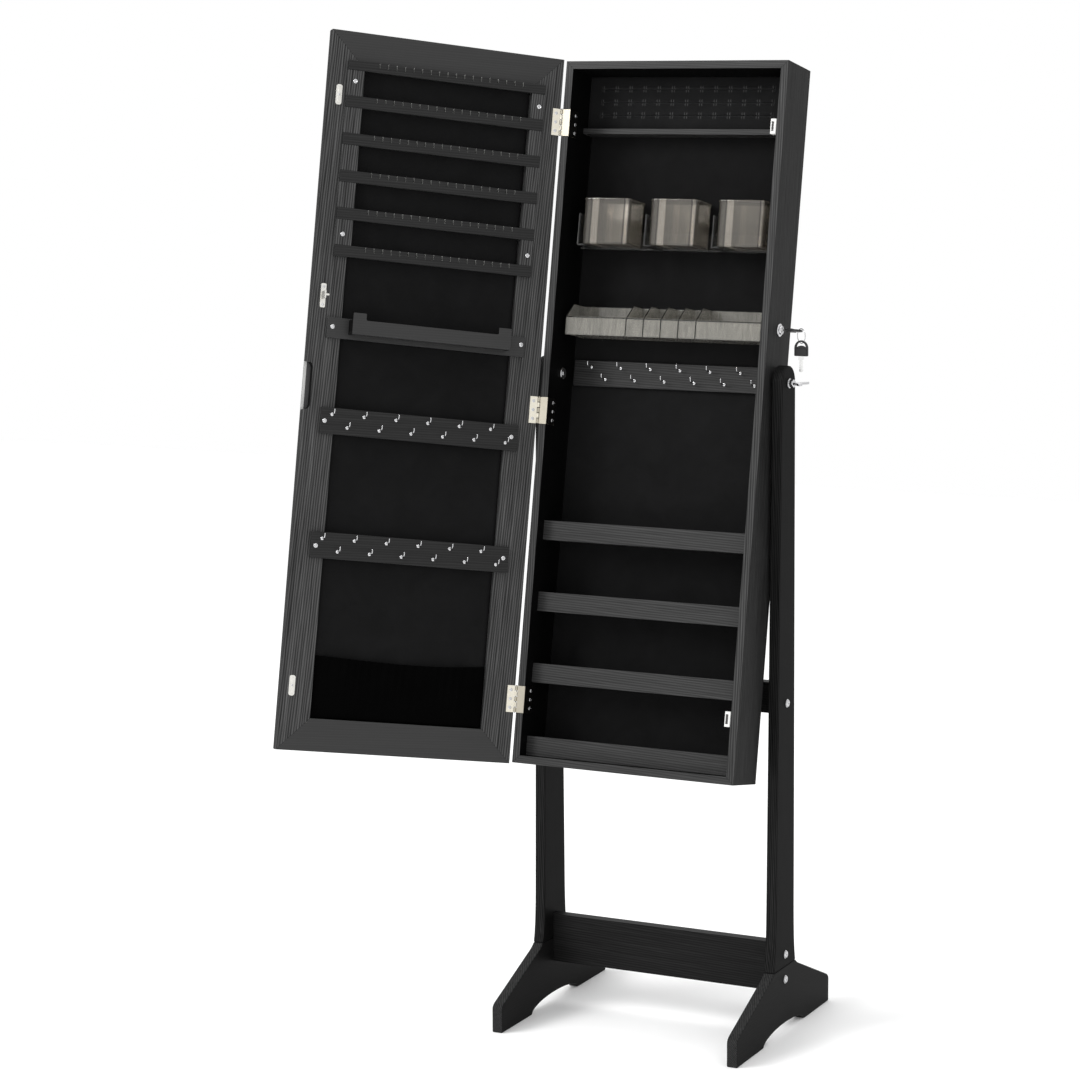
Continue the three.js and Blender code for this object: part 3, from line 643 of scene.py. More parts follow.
def stretcher_bolt(sign, z):
    way = "+x" if sign > 0 else "-x"
    at = facing(sign * (UPRIGHT_OUT + 0.3), 0, z, way)
    washer = turned([(6.5, 0), (6.5, 0.9), (6.2, 1.2), (5.0, 1.2)], 36)
    return merged(placed(at, washer), placed(at @ move(0, 0, 1.1), screw_head(5.4, 2.1, 36)))


def wing_outline():
    upper = [(0, 5), (7, 5.5)] + bend((7, 5.5), (13, 8), (16, 13), 8)[1:]
    upper += bend((16, 13), (21, 20), (25, 17), 8)[1:] + bend((25, 17), (27, 12), (22, 7), 8)[1:]
    upper += bend((22, 7), (19, 3), (17, 0), 6)[1:]
    return upper + [(x, -z) for x, z in upper[-2::-1]]


def wing_bolt(sign):
    at = facing(sign * UPRIGHT_OUT, 0, PIVOT_Z, "+x" if sign > 0 else "-x")
    washer = turned([(7.6, 0.3), (7.6, 1.5), (7.2, 1.9), (6.4, 1.9), (6.2, 2.6)], 40)
    hub = turned([(6.0, 1.8), (6.0, 7.5), (5.6, 8.8), (4.2, 9.8), (1.5, 10.2)], 36)
    shank = turned([(4.0, -38), (4.0, 2.0)], 28)
    spread_out = prism([(sign * x, y) for x, y in wing_outline()], "z", -1.8, 1.8)
    wings = placed(move(sign * (UPRIGHT_OUT + 1.2), 0, PIVOT_Z), spread_out)
    return merged(placed(at, washer), placed(at, hub), placed(at, shank), wings)


def build_stand():
    for side, sign in SIDES:
        x0, x1 = between(sign, UPRIGHT_IN, UPRIGHT_OUT)
        # front faces get the lighter copies: painted light
        piece(f"{side}_upright_board", STAND, prism(upright_outline(), "x", x0, x1), FOIL_STAND_UP, "stand",
              [f"{side}_upright"], 1.8, second=(FOIL_STAND_LIT_FRONT, faces_front))
        piece(f"{side}_foot_board", STAND, prism(foot_outline(), "x", x0, x1), FOIL_FOOT, "stand",
              [f"{side}_foot"], 1.8, second=(FOIL_FOOT_LIT_FRONT, faces_front))
        for name, z in BOLT_Z.items():
            piece(f"{side}_{name}_head", STAND, stretcher_bolt(sign, z), CHROME, "stand", [f"{side}_{name}"])
        piece(f"{side}_wing_bolt_cast", STAND, wing_bolt(sign), CHROME, f"{side}_wing",
              [f"{side}_wing_bolt"], 0.5)
    for name in ("lower_stretcher", "rear_crossbar"):
        finish_node(name, FOIL_STAND_ACROSS, 0.8)


# ---- cabinet ----
HEIGHT, DEPTH, BOARD, SEAM = 1090.0, 90.0, 12.0, 0.15
INNER = 172.7
BACK_V = 82.9
PANEL_OUT = 185.0
PANEL_IN = 173.0


def hook(reach=15.5, rise=7.6):
    """A pressed base and a bent pin that leaves it along +y and turns up."""
    base = turned([(2.9, -0.4), (2.9, 0.6), (2.5, 1.1), (1.6, 1.5), (1.0, 1.6)], 24)
    path = [(0, y, 0) for y in (1.0, 4.0, 7.0, 9.5)]
    path += [(0, y, z) for y, z in arc(9.5, 6.0, reach - 9.5, 6.0, -90, 0, 9)[1:]]
    path.append((0, reach, rise - 0.2))
    return merged(placed(turn(-90, "X"), base), tube(path, 0.95, 12))


HOOK_BOARD_H, HOOK_PITCH = 40.0, 50.4


def hook_places(mid, way):
    """The two staggered rows of six on a board."""
    for drop, shift in ((10, HOOK_PITCH / 4), (28.5, -HOOK_PITCH / 4)):
        for k in range(6):
            yield mid + way * ((k - 2.5) * HOOK_PITCH + shift), HOOK_BOARD_H - drop


def side_panel(sign):
    """A board with both ends mitred, bored for the pivot and, on the right, for the lock."""
    holes = [circle(PIVOT_V, PIVOT_U, 4.6)] + ([circle(*LOCK, 8.2)] if sign > 0 else [])
    outline = [(0, SEAM), (DEPTH, SEAM), (DEPTH, HEIGHT - SEAM), (0, HEIGHT - SEAM)]
    points, faces = plate(outline, holes, "x", *between(sign, PANEL_IN, PANEL_OUT))
    inner = [abs(x) < PANEL_IN + 1 for x, _, _ in points]
    low, high = BOARD + SEAM, HEIGHT - BOARD - SEAM
    return [(x, v, min(max(u, low), high) if near else u) for (x, v, u), near in zip(points, inner)], faces


def build_carcass():
    for side, sign in SIDES:
        # the front edges get the lighter copy: painted light
        panel = cab_piece(f"{side}_side_board", side_panel(sign), FOIL_CAB_SIDE, [f"{side}_side_panel"],
                          0.12, second=(FOIL_CAB_LIT_FRONT, lambda _, way: way.y < -0.5))
        # the inner faces of the sides get the near-black copy: painted shade
        panel.data.materials.append(FOIL_CAB_SHADED_INSIDE)
        for face in panel.data.polygons:
            if face.normal.x * sign < -0.5:
                face.material_index = 2
    for name, outside, inside in (("top", HEIGHT, HEIGHT - BOARD), ("bottom", 0, BOARD)):
        out_end, in_end = PANEL_OUT - 0.12, INNER + 0.18
        outline = [(-out_end, outside), (out_end, outside), (in_end, inside), (-in_end, inside)]
        inward = math.copysign(1, inside - outside)
        # the inward face of the top and bottom gets the near-black copy: painted shade
        cab_piece(f"{name}_board", prism(outline, "y", 0, DEPTH), FOIL_CAB_ACROSS, [f"{name}_panel"], 0.12,
                  second=(FOIL_CAB_SHADED_INSIDE, lambda _, way: way.z * inward > 0.5))
    for name in ("ring_shelf", "bottom_lip"):
        finish_node(name, FOIL_CAB_ACROSS, 0.3)
    for k in (1, 2, 3):
        finish_node(f"tray_shelf_{k}", FOIL_CAB_ACROSS, 0.4)
    finish_node("back_panel", FOIL_CAB_SIDE, 0.5)
    for side, sign in SIDES:
        at = CAB @ facing(sign * INNER, PIVOT_V, PIVOT_U, "-x" if sign > 0 else "+x")
        flange = turned([(9.0, 0.1), (9.0, 1.3), (8.4, 2.0), (4.8, 2.0), (4.3, 1.5)], 40)
        piece(f"{side}_pivot_nut_flange", at, flange, CHROME, "cabinet", [f"{side}_pivot_nut"])
        # a dark disc in the nut's socket: painted shade for its hollow
        socket_shade = turned([(4.1, 1.2), (4.1, 1.6)], 32)
        piece(f"{side}_pivot_nut_socket_shade", at, socket_shade, BLACK, "cabinet", slot="chromed_metal")


def lining_front(x, u):
    """Velvet drawn over the back board: barely wavy, held down round the edge."""
    edge = min(1, (INNER - abs(x)) / 6) * min(1, min(u - BOARD - 0.3, HEIGHT - BOARD - 0.3 - u) / 6)
    return 83.45 - 0.22 * max(0, edge) * (1 + 0.35 * math.sin(x / 37) * math.sin(u / 53))


def build_back_lining():
    shape = slab(-INNER + 0.3, INNER - 0.3, BOARD + 0.4, HEIGHT - BOARD - 0.4, 60, 160, lining_front, 84.2)
    lining = cab_piece("back_velvet", shape, VELVET_CAB, ["back_lining"])


RING_ROWS = (1017.0, 1037.0, 1058.0)
RING_PITCH, RING_SHIFT = 24.0, 6.0
RING_PAD_U = (994.5, 1077.3)


def ring_pad_place(x, u):
    """How far a point is from the nearest slit and from the nearest tick, and whether rows reach it."""
    gap = min(abs(u - row) for row in RING_ROWS)
    across = abs(((x + RING_SHIFT) / RING_PITCH + 0.5) % 1 - 0.5) * RING_PITCH
    return gap, across, max(0.0, min(1.0, (6 * RING_PITCH + 2 - abs(x + RING_SHIFT)) / 2))


def ring_pad_front(x, u):
    """Foam under velvet, cut by three long slits; each slit has a short tick every pitch."""
    gap, across, inside = ring_pad_place(x, u)
    slit = inside * math.exp(-((gap / 0.85) ** 2)) * 5.0
    lips = inside * math.exp(-(((gap - 2.4) / 1.6) ** 2)) * 0.7
    tick = inside * math.exp(-((across / 0.8) ** 2)) * max(0.0, 1 - (gap / 5.5) ** 4) * 2.2
    rim = min(INNER - abs(x), u - RING_PAD_U[0] + 0.2, RING_PAD_U[1] + 0.2 - u)
    rolled = 2.2 * math.exp(-max(0.0, rim) / 1.4)
    return 65.2 + max(slit, tick) - lips + rolled


def ring_pad_fold_highlight(x, u):
    """How strong the painted highlight is where the velvet folds catch the light: along each slit and on
    both sides of its ticks.
    """
    gap, across, inside = ring_pad_place(x, u)
    line = math.exp(-((gap / 0.9) ** 2)) * 0.45
    tick = math.exp(-(((across - 1.8) / 0.8) ** 2)) * max(0.0, 1 - (gap / 5.5) ** 4)
    return min(1.0, inside * max(line, tick))


def build_ring_pad():
    shape = slab(-INNER + 0.4, INNER - 0.4, *RING_PAD_U, 521, 141, ring_pad_front, BACK_V - 0.1)
    pad = cab_piece("ring_pad_velvet", shape, VELVET_PAD, ["ring_pad"], crease=60)
    # painted highlight along the ring slits, where the velvet folds catch the light
    fold_highlight_layer = pad.data.attributes.new("fold_highlight", "FLOAT", "POINT")
    fold_highlight_layer.data.foreach_set("value", [ring_pad_fold_highlight(x, u) for x, _, u in shape[0]])


def build_cabinet_hooks():
    front, low = 76.9, 593.0
    board = box(-168, 168, front, BACK_V, low, low + HOOK_BOARD_H)
    cab_piece("cabinet_hook_board", board, FOIL_CAB_RAIL, ["cabinet_hook_rail"], 0.6)
    hooks = [placed(move(x, front, low + z) @ turn(180, "Z"), hook()) for x, z in hook_places(0, -1)]
    cab_piece("cabinet_hooks", merged(*hooks), CHROME, ["cabinet_hook_rail"])


BIN_U, BIN_V = (809.9, 881.3), 21.0


def bin_shape(cx):
    """A thin-walled bin with round front corners and a turned-out rim."""
    x0, x1, y0, y1 = cx - BIN_HALF, cx + BIN_HALF, BIN_V, BIN_V + 59

    def ring(inset, u):
        corner, back = max(0.6, 11 - inset), max(0.4, 3 - inset * 0.5)
        outline = rounded(x0 + inset, x1 - inset, y0 + inset, y1 - inset * 0.8, corner, back, 8)
        return [(x, y, u) for x, y in outline]

    low, high = BIN_U
    outside = [ring(3.2, low), ring(2.2, low + 0.4), ring(1.6, low + 1.6), ring(1.5, high - 3.6)]
    lip = [ring(1.3, high - 3.1), ring(0.3, high - 2.7), ring(0, high - 2.2), ring(0, high - 0.7)]
    lip += [ring(0.4, high - 0.1), ring(1.2, high), ring(2.6, high), ring(3.3, high - 0.3)]
    inside = [ring(3.6, high - 1.2), ring(3.7, low + 4.4), ring(4.4, low + 2.9), ring(6.2, low + 2.4)]
    return loft(outside + lip + inside)


TRAY_WALLS = [k * 29.2 - 2 for k in (-2, -1, 0, 1, 2)]
TRAY_END = 163.5
TRAY_SIDE = [(23.5, 668.6), (23.5, 695.5), (47.5, 717.5), (81.5, 717.5)]


def tray_arrises():
    """Dark lines painted along the tray's edges as shade: its dividers, seen end on, and its front and rear
    top edges.
    """
    lines = [[(x, v - 0.1, u) for v, u in TRAY_SIDE] for x in TRAY_WALLS]
    for v, u in (TRAY_SIDE[1], TRAY_SIDE[3]):
        lines.append([(x, v - 0.1, u + 0.1) for x in (-TRAY_END + 1, 0, TRAY_END - 1)])
    lines.append([(-TRAY_END + 0.6, v, u) for v, u in TRAY_SIDE[1:3]])
    return merged(*[tube(line, 0.8, 8) for line in lines])


def build_plastics():
    for k, side in enumerate(("left", "middle", "right")):
        piece(f"{side}_smoke_bin", CAB, bin_shape((k - 1) * BIN_PITCH + BIN_SHIFT), SMOKE,
              f"{side}_bin_body", [f"{side}_bin"], crease=50)
    finish_node("bin_holder", CLEAR, 0.35)
    finish_node("cosmetic_tray", TRAY_SMOKE, 0.4)
    # lines of painted shade along the tray's edges
    cab_piece("cosmetic_tray_edge_shade", tray_arrises(), TRAY_EDGE_SHADE)


CATCH_U = {"lower": 86.5, "upper": 978.5}


def build_catches():
    for name, u in CATCH_U.items():
        body = prism(rounded(163.2, INNER - 0.3, -0.7, 13, 1.6), "z", u, u + 23)
        cab_piece(f"{name}_catch_body", body, WHITE, [f"{name}_catch"], 0.6)
        poles = [box(x, x + 0.6, -1.0, 6, u + 4, u + 19) for x in (164.9, 168.8)]
        cab_piece(f"{name}_catch_poles", merged(*poles), CHROME, edge=0.2)
        magnet = box(165.5, 168.8, -0.85, 5, u + 4, u + 19)
        cab_piece(f"{name}_catch_magnet", magnet, MAGNET, edge=0.2)
        ear = [(163.2, 7.5, u + 5.0), (163.2, 7.5, u + 18.0)]
        cab_piece(f"{name}_catch_screws", screws(ear, "-x", 1.9, 0.8), CHROME)


# ---- lock and keys ----
LOCK = (43.3, 688.0)
KEY_X = 198.5
BAR = 22.8
RING_R, RING_WIRE, RING_HANG = 11.0, 0.65, 7.65


def key_blade(length):
    """A flat blade with a groove down it and cuts along both edges."""
    top = [(1.0, 3.2)]
    for k, cut in enumerate([0.0, 0.9, 0.2, 1.3, 0.5, 1.0, 0.1]):
        x = -length * (0.18 + 0.72 * k / 6)
        top += [(x + 0.9, 3.2 - cut * 0.3), (x, 3.2 - cut), (x - 0.9, 3.2 - cut * 0.3)]
    tip = [(-length, 1.2), (-length, -1.2)]
    bottom = [(x, -y) for x, y in top[::-1]]
    return merged(prism(top + tip + bottom, "z", -0.55, 0.55), box(-length * 0.86, 1, -0.6, 0.9, -0.9, 0.9))


def bow_outline():
    right = arc(1.6, 9.4, 1.6, 1.6, 180, 90, 4) + arc(12, 0, 12, 11, 90, 0, 16)
    return right + [(x, -y) for x, y in right[-2::-1]]


def bow_hole():
    return arc(12, 0, 9.4, 7.6, 78, -78, 18) + arc(12, 0, 4.0, 7.2, -70, 70, 12)


def key(length):
    """(bow, blade) of a key lying in the x-y plane, its blade towards -x."""
    rib = prism(rounded(1.6, 11.5, -8.6, 8.6, 1.8, 1.8, 4), "z", -2.4, 2.4)
    shoulder = box(-5.5, 1.5, -4.2, 4.2, -1.0, 1.0)
    bow = plate(bow_outline(), [bow_hole()], "z", -1.4, 1.4)
    return merged(bow, rib), merged(key_blade(length), shoulder)


def torus(r, wire):
    """A ring in the x-z plane."""
    return tube([(x, 0, z) for x, z in circle(0, 0, r, 64)], wire, 12, closed=True)


def build_lock():
    at = CAB @ facing(185.3, *LOCK, "+x")
    profile = [(8, -11), (8, 0), (10, 0.05), (10, 1.3), (9.6, 2.0), (8.6, 2.4), (7.0, 2.6)]
    profile += [(6.8, 4.4), (6.3, 5.0), (5.3, 5.0), (5.15, 4.7), (5.15, -11)]
    points, faces = turned(profile, 48)
    start = len(points) - 48
    faces[-2:] = [[start + j, start + (j + 1) % 48, (j + 1) % 48, j] for j in range(48)]
    piece("lock_escutcheon", at, (points, faces), CHROME, "cabinet", ["lock_housing"])
    face = plate(circle(0, 0, 4.95, 40), [rounded(-1.2, 1.2, -3.7, 3.7, 0.6)], "z", -14, 4.6)
    cam = [(-4.5, -4), (-4.5, 4), (30, 4), (30, -4), (25.8, -4), (25.8, 1.6), (20.8, 1.6), (20.8, -4)]
    hub = turned([(3.0, -18.2), (3.0, -13.5)], 20)
    core = merged(placed(turn(90, "Z"), face), hub, prism(cam, "z", -17.6, -16.1))
    piece("lock_plug_and_cam", at, core, CHROME, "lock_core", ["lock_plug_cam"], 0.12)
    bow, blade = key(26)
    lie = CAB @ move(KEY_X, *LOCK)
    piece("lock_key_bow", lie, bow, BLACK, "lock_core", ["lock_key"], 0.3)
    piece("lock_key_blade", lie, blade, KEY_STEEL, "lock_core", ["lock_key"], 0.1)
    hung = move(0, 0, -RING_HANG) @ Matrix.Rotation(-math.atan2(0.6, 0.8), 4, "Z")
    ring = placed(hung, torus(RING_R, RING_WIRE))
    piece("split_ring", HANG, ring, CHROME, "ring", ["key_ring"])
    drop = HANG @ move(0, 0, -2 * RING_HANG - BAR) @ turn(-90, "Y") @ turn(90, "X")
    bow, blade = key(24)
    piece("spare_key_bow", drop, bow, BLACK, "spare", ["spare_key"], 0.3)
    piece("spare_key_blade", drop, blade, KEY_STEEL, "spare", ["spare_key"], 0.1)


# ---- hinges ----
HINGE_U = (77.3, 525.6, 973.4)
HINGE_H = 41.5
KNUCKLE = 1.9


def knuckle(x, y, z0, z1):
    edge = 0.25
    profile = [(KNUCKLE - edge, z0), (KNUCKLE, z0 + edge), (KNUCKLE, z1 - edge), (KNUCKLE - edge, z1)]
    return placed(move(x, y, 0), turned(profile, 24))


def shaded_leaf(middle, way):
    """Whether a face gets the dark copy of the hinge metal, painted shade: the hinge's pin, or the leaf's
    wing inside the cabinet.
    """
    on_pin = math.hypot(middle.x - HINGE_AXIS[0], middle.y - HINGE_AXIS[1]) < 1.2 and abs(way.z) < 0.5
    return on_pin or (middle.y > 3 and way.x > 0.5)


def build_hinges():
    step = HINGE_H / 5
    ax, ay = HINGE_AXIS
    for k, u in enumerate(HINGE_U, start=1):
        spans = [(u + i * step + 0.6, u + (i + 1) * step - 0.6) for i in range(5)]
        parts = [knuckle(ax, ay, *spans[i]) for i in (0, 2, 4)]
        parts += [box(ax, -184.0, -1.3, -0.1, *spans[i]) for i in (0, 2, 4)]
        pin = turned([(0.9, u - 0.4), (0.9, u + HINGE_H + 0.4)], 20)
        head = turned([(1.5, u + HINGE_H), (1.5, u + HINGE_H + 0.5), (0.9, u + HINGE_H + 0.9)], 20)
        parts += [placed(move(ax, ay, 0), shape) for shape in (pin, head)]
        parts.append(prism([(-184.2, -1.3), (-171.7, -1.3), (-171.7, 27), (-172.5, 27), (-172.5, -0.1),
                            (-184.2, -0.1)], "z", u, u + HINGE_H))
        # the pin and the inner wing get the dark copy: painted shade
        cab_piece(f"hinge_{k}_cabinet_leaf", merged(*parts), HINGE_STEEL, [f"cabinet_hinge_leaf_{k}"], 0.15,
                  second=(HINGE_SHADED, shaded_leaf))
        heights = [u + HINGE_H * share for share in (0.17, 0.5, 0.83)]
        cab_piece(f"hinge_{k}_cabinet_screws", screws([(-171.7, 20, z) for z in heights], "+x", 3.3, 1.0),
                  CHROME, slot="hinge_metal")
        h = u + DOOR_BELOW
        turning = [(a + DOOR_BELOW, b + DOOR_BELOW) for a, b in (spans[1], spans[3])]
        leaf = [knuckle(0, 0, *span) for span in turning]
        leaf += [box(0, 2.5, -1.4, -0.2, *span) for span in turning]
        leaf.append(box(2.2, 14.1, -1.4, -0.2, h, h + HINGE_H))
        piece(f"hinge_{k}_door_leaf", DOOR, merged(*leaf), HINGE_DOOR_LEAF_LIT, "door", [f"door_hinge_leaf_{k}"],
              0.15)
        spots = [(8.5, -0.25, z + DOOR_BELOW) for z in heights]
        piece(f"hinge_{k}_door_screws", DOOR, screws(spots, "+y", 2.6, 0.35), CHROME, "door",
              slot="hinge_metal")


# ---- door ----
FACE = -1.5
DOOR_W, DOOR_H, FRAME_T = 371.0, 1094.0, 15.0
STILE_W, DOOR_RAIL_W = 49.5, 50.0
BOARD_S = (29.0, 343.0)  # the ends of the rack's rails and of the hook boards


def free_stile_outline():
    """The stile on the lock side: mitred ends and a shallow finger notch in its outer edge."""
    outer, inner = DOOR_W, DOOR_W - STILE_W
    notch = rounded(outer - 11, outer + 11, 515.5, 589, 9)
    bay = [(s, h) for s, h in notch if s <= outer - 1.9]
    high = [(s, h) for s, h in bay if h > 552]
    low = [(s, h) for s, h in bay if h <= 552]
    recess = [(outer, 515.5), *low[::-1], *high[::-1], (outer, 589)]
    corners = [(outer, DOOR_H - SEAM), (inner, DOOR_H - DOOR_RAIL_W - SEAM), (inner, DOOR_RAIL_W + SEAM)]
    return [(outer, SEAM), *recess, *corners]


def build_door_frame():
    # the stile's outer edge face gets the near-black copy: painted shade
    door_piece("door_free_stile_board", prism(free_stile_outline(), "y", FACE - FRAME_T, FACE), FOIL_DOOR_UP,
               ["door_free_stile"], 0.25, second=(FOIL_DOOR_SHADED_EDGE, lambda _, way: way.x > 0.4))
    finish_node("door_hinge_stile", FOIL_DOOR_UP, 0.3)
    finish_node("door_top_rail", FOIL_DOOR_ACROSS, 0.3)
    finish_node("door_bottom_rail", FOIL_DOOR_ACROSS, 0.3)
    back = FACE - FRAME_T - 0.15
    glass = box(0.5, DOOR_W - 0.5, back - 3.6, back - 0.15, 0.5, DOOR_H - 0.5)
    door_piece("door_mirror_glass", glass, MIRROR, ["door_mirror"], 0.5,
               second=(GLASS_EDGE, lambda _, way: abs(way.y) < 0.5))
    # painted shade on the back paint and painted light on the rim, both seen through the finger notch
    inset, lit_rim_s = 0.7, DOOR_W - 4.5
    coats = (("back_paint", inset, lit_rim_s, MIRROR_PAINT_SHADED), ("rim", lit_rim_s, DOOR_W - inset, MIRROR_RIM_LIT))
    for name, low, high, coat in coats:
        layer = box(low, high, back - 0.15, back, inset, DOOR_H - inset)
        door_piece(f"door_mirror_{name}", layer, coat, ["door_mirror"])


def lining_pad(s, h):
    """The door's velvet panel: a thin pad, crowned a little and rolled over at its edge."""
    rim = min(s - 51.3, 322.7 - s, h - 50.3, 1043.7 - h)
    return 0.35 + 1.8 * math.exp(-max(0.0, rim) / 1.5) + 0.12 * math.sin(s / 41) * math.sin(h / 67)


def build_door_lining():
    shape = slab(51.4, 322.6, 50.4, 1043.6, 110, 240, lining_pad, 8.6)
    flipped = [(372.5 - x, -7.3 - y, z) for x, y, z in shape[0]], shape[1]
    pad = door_piece("door_velvet_panel", flipped, VELVET_DOOR, ["door_lining"], crease=60)


RACK_H = (751.5, 1049.5)
RACK_PITCH = 56.8
RACK_WINDOW = 39.3
RACK_TOP = 1035.0
SLIT_S = np.linspace(66, 295, 18)


def comb_outline(low, high):
    """A rail with a narrow slit cut down from its top edge under each earring's place."""
    top = []
    for s in SLIT_S[::-1]:
        top += [(s + 0.8, high), (s + 0.7, high - 7.2), (s - 0.7, high - 7.2), (s - 0.8, high)]
    return [(BOARD_S[0], low), (BOARD_S[1], low), (BOARD_S[1], high), *top, (BOARD_S[0], high)]


def in_slit(middle, way):
    """Whether a rail's face is the wall or the floor of one of its slits."""
    return abs(way.y) < 0.3 and min(abs(middle.x - s) for s in SLIT_S) < 0.9


def build_earring_rack():
    tops = [RACK_TOP - k * RACK_PITCH for k in range(5)]
    rails = [(RACK_TOP, RACK_H[1])] + [(t - RACK_PITCH, t - RACK_WINDOW) for t in tops[:4]]
    rails.append((RACK_H[0], tops[4] - RACK_WINDOW))
    for k, (low, high) in enumerate(rails, start=1):
        bar = prism(comb_outline(low, high), "y", FACE + 0.3, 5.8)
        door_piece(f"earring_rail_{k}", bar, FOIL_DOOR_RAIL, ["earring_rack"], 0.2, second=(SLIT, in_slit))
    for side, (s0, s1) in (("hinge", (29, 49.5)), ("free", (317.5, 343))):
        blocks = [box(s0, s1, FACE + 0.3, 5.2, t - RACK_WINDOW + 0.15, t - 0.15) for t in tops]
        door_piece(f"earring_spacers_{side}_side", merged(*blocks), FOIL_DOOR_UP, ["earring_rack"], 0.3)
    spots = [(331, 1018), (37, 1015), (332, 785), (37, 784)]
    shape = screws([(s, 5.1, h) for s, h in spots], "+y", 3.6, 1.5)
    door_piece("earring_rack_screws", shape, CHROME)


RAILS = {1: 293.0, 2: 481.5}
RAIL_SCREWS = {1: ((335.3, 311.5), (37.7, 315.4)), 2: ((337, 501), (40, 502.7))}


def build_door_hooks():
    for k, low in RAILS.items():
        board = box(*BOARD_S, FACE + 0.3, 4.8, low, low + HOOK_BOARD_H)
        node_name = f"door_hook_rail_{k}"
        door_piece(f"door_hook_board_{k}", board, FOIL_DOOR_RAIL, [node_name], 0.6)
        places = hook_places(187.5, 1)
        hooks = [placed(move(x, 4.8, low + z), hook()) for x, z in places]
        door_piece(f"door_hooks_{k}", merged(*hooks), CHROME, [node_name])
        spots = [(s, 4.7, h) for s, h in RAIL_SCREWS[k]]
        door_piece(f"door_hook_board_{k}_screws", screws(spots, "+y"), CHROME)


def build_door_shelf():
    back = box(30, 344, FACE + 0.3, 4.8, 627, 658)
    door_piece("door_shelf_back", back, FOIL_DOOR_ACROSS, ["door_shelf"], 0.6)
    floor = box(60, 311, 4.7, 24.8, 634, 639)
    door_piece("door_shelf_floor", floor, FOIL_DOOR_ACROSS, ["door_shelf"], 0.4)
    # the shelf's ends are in the near-black copy: painted shade
    ends = [box(s, s + 5, 4.7, 24.8, 634, 656) for s in (60, 306)]
    door_piece("door_shelf_ends", merged(*ends), FOIL_DOOR_SHADED_EDGE, ["door_shelf"], 0.4)
    bar = [(60, 634), (311, 634), (311, 665)] + bend((311, 665), (311, 666.5), (309.5, 666.5), 4)[1:]
    bar += [(292, 666.5)] + bend((292, 666.5), (290.5, 666.5), (290.5, 665), 4)[1:]
    bar += bend((290.5, 658.5), (290.5, 656), (288, 656), 6) + bend((83, 656), (80.5, 656), (80.5, 658.5), 6)
    bar += bend((80.5, 665), (80.5, 666.5), (79, 666.5), 4) + bend((61.5, 666.5), (60, 666.5), (60, 665), 4)
    shape = prism(bar, "y", 24.7, 29.8)
    # the bar's end faces get the near-black copy: painted shade
    door_piece("door_shelf_front_bar", shape, FOIL_DOOR_ACROSS, ["door_shelf"], 0.4,
               second=(FOIL_DOOR_SHADED_EDGE, lambda _, way: abs(way.x) > 0.6))
    spots = [(s, 4.7, h) for s, h in ((336, 644), (36, 646))]
    door_piece("door_shelf_screws", screws(spots, "+y"), CHROME)


def build_door_plates():
    for name, low in (("lower", 82.6), ("upper", 980.5)):
        outline = rounded(348.8, 358.2, low, low + 31, 3.5)
        shape = prism(outline, "y", FACE + 0.1, FACE + 1.1)
        raised = prism(rounded(351.2, 355.8, low + 3, low + 28, 2), "y", FACE + 0.9, FACE + 1.5)
        door_piece(f"{name}_catch_plate", merged(shape, raised), BRIGHT_PLATE, edge=0.3)
        spot = [(353.5, FACE + 1.4, low + 15.5)]
        door_piece(f"{name}_catch_plate_screw", screws(spot, "+y", 1.9, 0.6), CHROME)
    strike_s = 353.4
    base = prism(rounded(strike_s - 4.1, strike_s + 4.1, 671.6, 708.4, 2.0), "y", FACE + 0.3, FACE + 1.6)
    arm = box(strike_s + 1.2, strike_s + 2.8, FACE + 1.5, 24.6, 684, 695.8)
    pin = placed(facing(strike_s - 4, 21.5, 690, "+x"), turned([(1.7, 0), (1.7, 5.6), (1.4, 6.0)], 24))
    door_piece("lock_strike_bracket", merged(base, arm, pin), BRIGHT_PLATE, ["lock_strike"], 0.25)
    spots = [(strike_s, FACE + 1.5, h) for h in (676.5, 703.5)]
    door_piece("lock_strike_screws", screws(spots, "+y", 2.2, 0.6), CHROME)


# ---- pouch ----
POUCH_S = (51.0, 320.0)
POUCH_H = (51.2, 145.6)
POUCH_BACK = -7.0


def pouch_point(a, b):
    """A point of the gathered cloth; a runs from the hinge side to the free side, b from bottom to top."""
    s = POUCH_S[0] + (POUCH_S[1] - POUCH_S[0]) * a
    side = min(1.0, 6.5 * min(a, 1 - a)) ** 0.6
    low = min(1.0, 3.2 * b) ** 0.7
    sag = 5.2 * math.sin(math.pi * a ** 0.8) ** 1.3 * b ** 3
    h = POUCH_H[0] + (POUCH_H[1] - POUCH_H[0]) * b - sag
    full = side * low * (0.75 + 0.25 * math.sin(math.pi * min(1.0, b * 1.15)))
    phase = 2.1 * math.sin(a * 9.0) + 1.3 * math.sin(a * 23.0 + 1.0)
    gather = 0.55 * math.sin(a * 118 + phase + b * 3.0) * (0.25 + 0.75 * b ** 2)
    gather += 0.5 * math.sin(a * 31 + 2.4 * b + 0.6) * (0.4 + 0.6 * b)
    gather += 0.35 * math.sin(a * 14 + b * 11)
    swell = 7.6 * full + gather * side * low
    hem = 0.45 * math.exp(-(((b - 0.955) / 0.035) ** 2)) - 0.35 * math.exp(-(((b - 0.9) / 0.012) ** 2))
    return s, POUCH_BACK + 0.5 + swell + hem * side, h


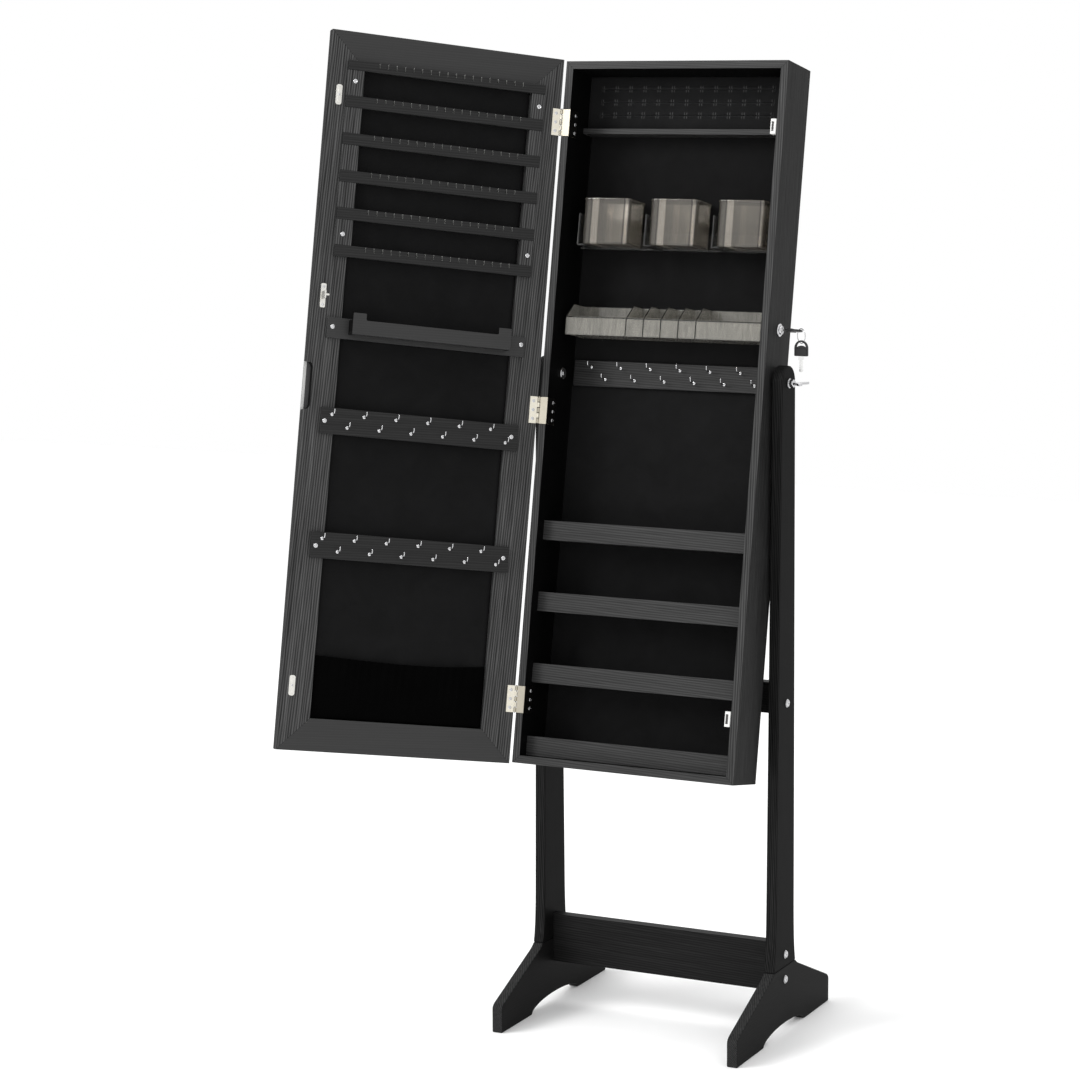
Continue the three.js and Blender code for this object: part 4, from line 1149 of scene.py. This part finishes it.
def build_pouch():
    nx, nz = 320, 90
    points = [pouch_point(i / (nx - 1), j / (nz - 1)) for j in range(nz) for i in range(nx)]
    faces = [[a, d, c, b] for a, b, c, d in grid(nx, nz)]
    cloth = door_piece("gathered_pouch", (points, faces), POUCH_CLOTH, ["fabric_pouch"], crease=180)
    thick = cloth.modifiers.new("cloth_thickness", "SOLIDIFY")
    thick.thickness, thick.offset = 0.0007, 0


# ---- camera, lights and floor ----
AZIMUTH, ELEVATION, ROLL = 26.42, 8.741, -0.303
DISTANCE = 4.8782
TARGET = Vector((PIVOT.x - 0.21339, PIVOT.y, 0.74996))
LENS = 102.96


def build_camera():
    a, e, r = (math.radians(v) for v in (AZIMUTH, ELEVATION, ROLL))
    back = Vector((math.sin(a) * math.cos(e), -math.cos(a) * math.cos(e), math.sin(e)))
    level = Vector((math.cos(a), math.sin(a), 0))
    above = back.cross(level)
    right = math.cos(r) * level + math.sin(r) * above
    top = math.cos(r) * above - math.sin(r) * level
    data = bpy.data.cameras.new("camera")
    data.lens, data.sensor_width = LENS, 36
    data.clip_end = 50
    camera = new_object("camera", data)
    rotation = Matrix((right, top, back)).transposed().to_4x4()
    camera.matrix_world = Matrix.Translation(TARGET + back * DISTANCE) @ rotation
    bpy.context.scene.camera = camera


def softbox(name, place, towards, size, power):
    data = bpy.data.lights.new(name, "AREA")
    data.shape, data.size, data.size_y = "RECTANGLE", *size
    data.energy = power
    light = new_object(name, data)
    light.location = place
    light.rotation_mode = "QUATERNION"
    light.rotation_quaternion = (Vector(towards) - Vector(place)).to_track_quat("-Z", "Y")


def build_studio():
    world = bpy.data.worlds.new("white_studio")
    world.use_nodes = True
    background = world.node_tree.nodes["Background"]
    background.inputs["Color"].default_value = (1, 1, 1, 1)
    background.inputs["Strength"].default_value = 1.0
    bpy.context.scene.world = world
    middle = (0.0, 0.1, 0.8)
    softbox("key_light", (-3.0, -2.8, 3.6), middle, (2.4, 2.4), 165)
    softbox("fill_light", (2.6, -2.6, 1.4), middle, (2.0, 2.6), 6)
    softbox("top_light", (0.2, 0.6, 3.6), middle, (2.6, 2.6), 18)
    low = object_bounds()[0].z
    shape = prism(rounded(-6000, 6000, -6000, 6000, 900), "z", low * 1000 - 20, low * 1000 - 0.05)
    mesh = bpy.data.meshes.new("floor")
    mesh.from_pydata([MM @ Vector(p) for p in shape[0]], [], shape[1])
    floor = new_object("floor", mesh)
    paint, tree, inputs = material("pale_floor", "floor", Specular_IOR_Level=0.2)
    mottle = noise(tree, local_place(tree, STAND), 3, 4, 0.5)
    feed(tree, inputs, ramp(tree, mottle, (0.2, 0.972), (0.8, 0.984)), spread(tree, mottle, 0.6, 0.75))
    mesh.materials.append(paint)
    bpy.context.scene.view_settings.view_transform = "Standard"


build_camera()
build_stand()
build_carcass()
build_back_lining()
build_ring_pad()
build_cabinet_hooks()
build_plastics()
build_catches()
build_lock()
build_hinges()
build_door_frame()
build_door_lining()
build_earring_rack()
build_door_hooks()
build_door_shelf()
build_door_plates()
build_pouch()
build_studio()
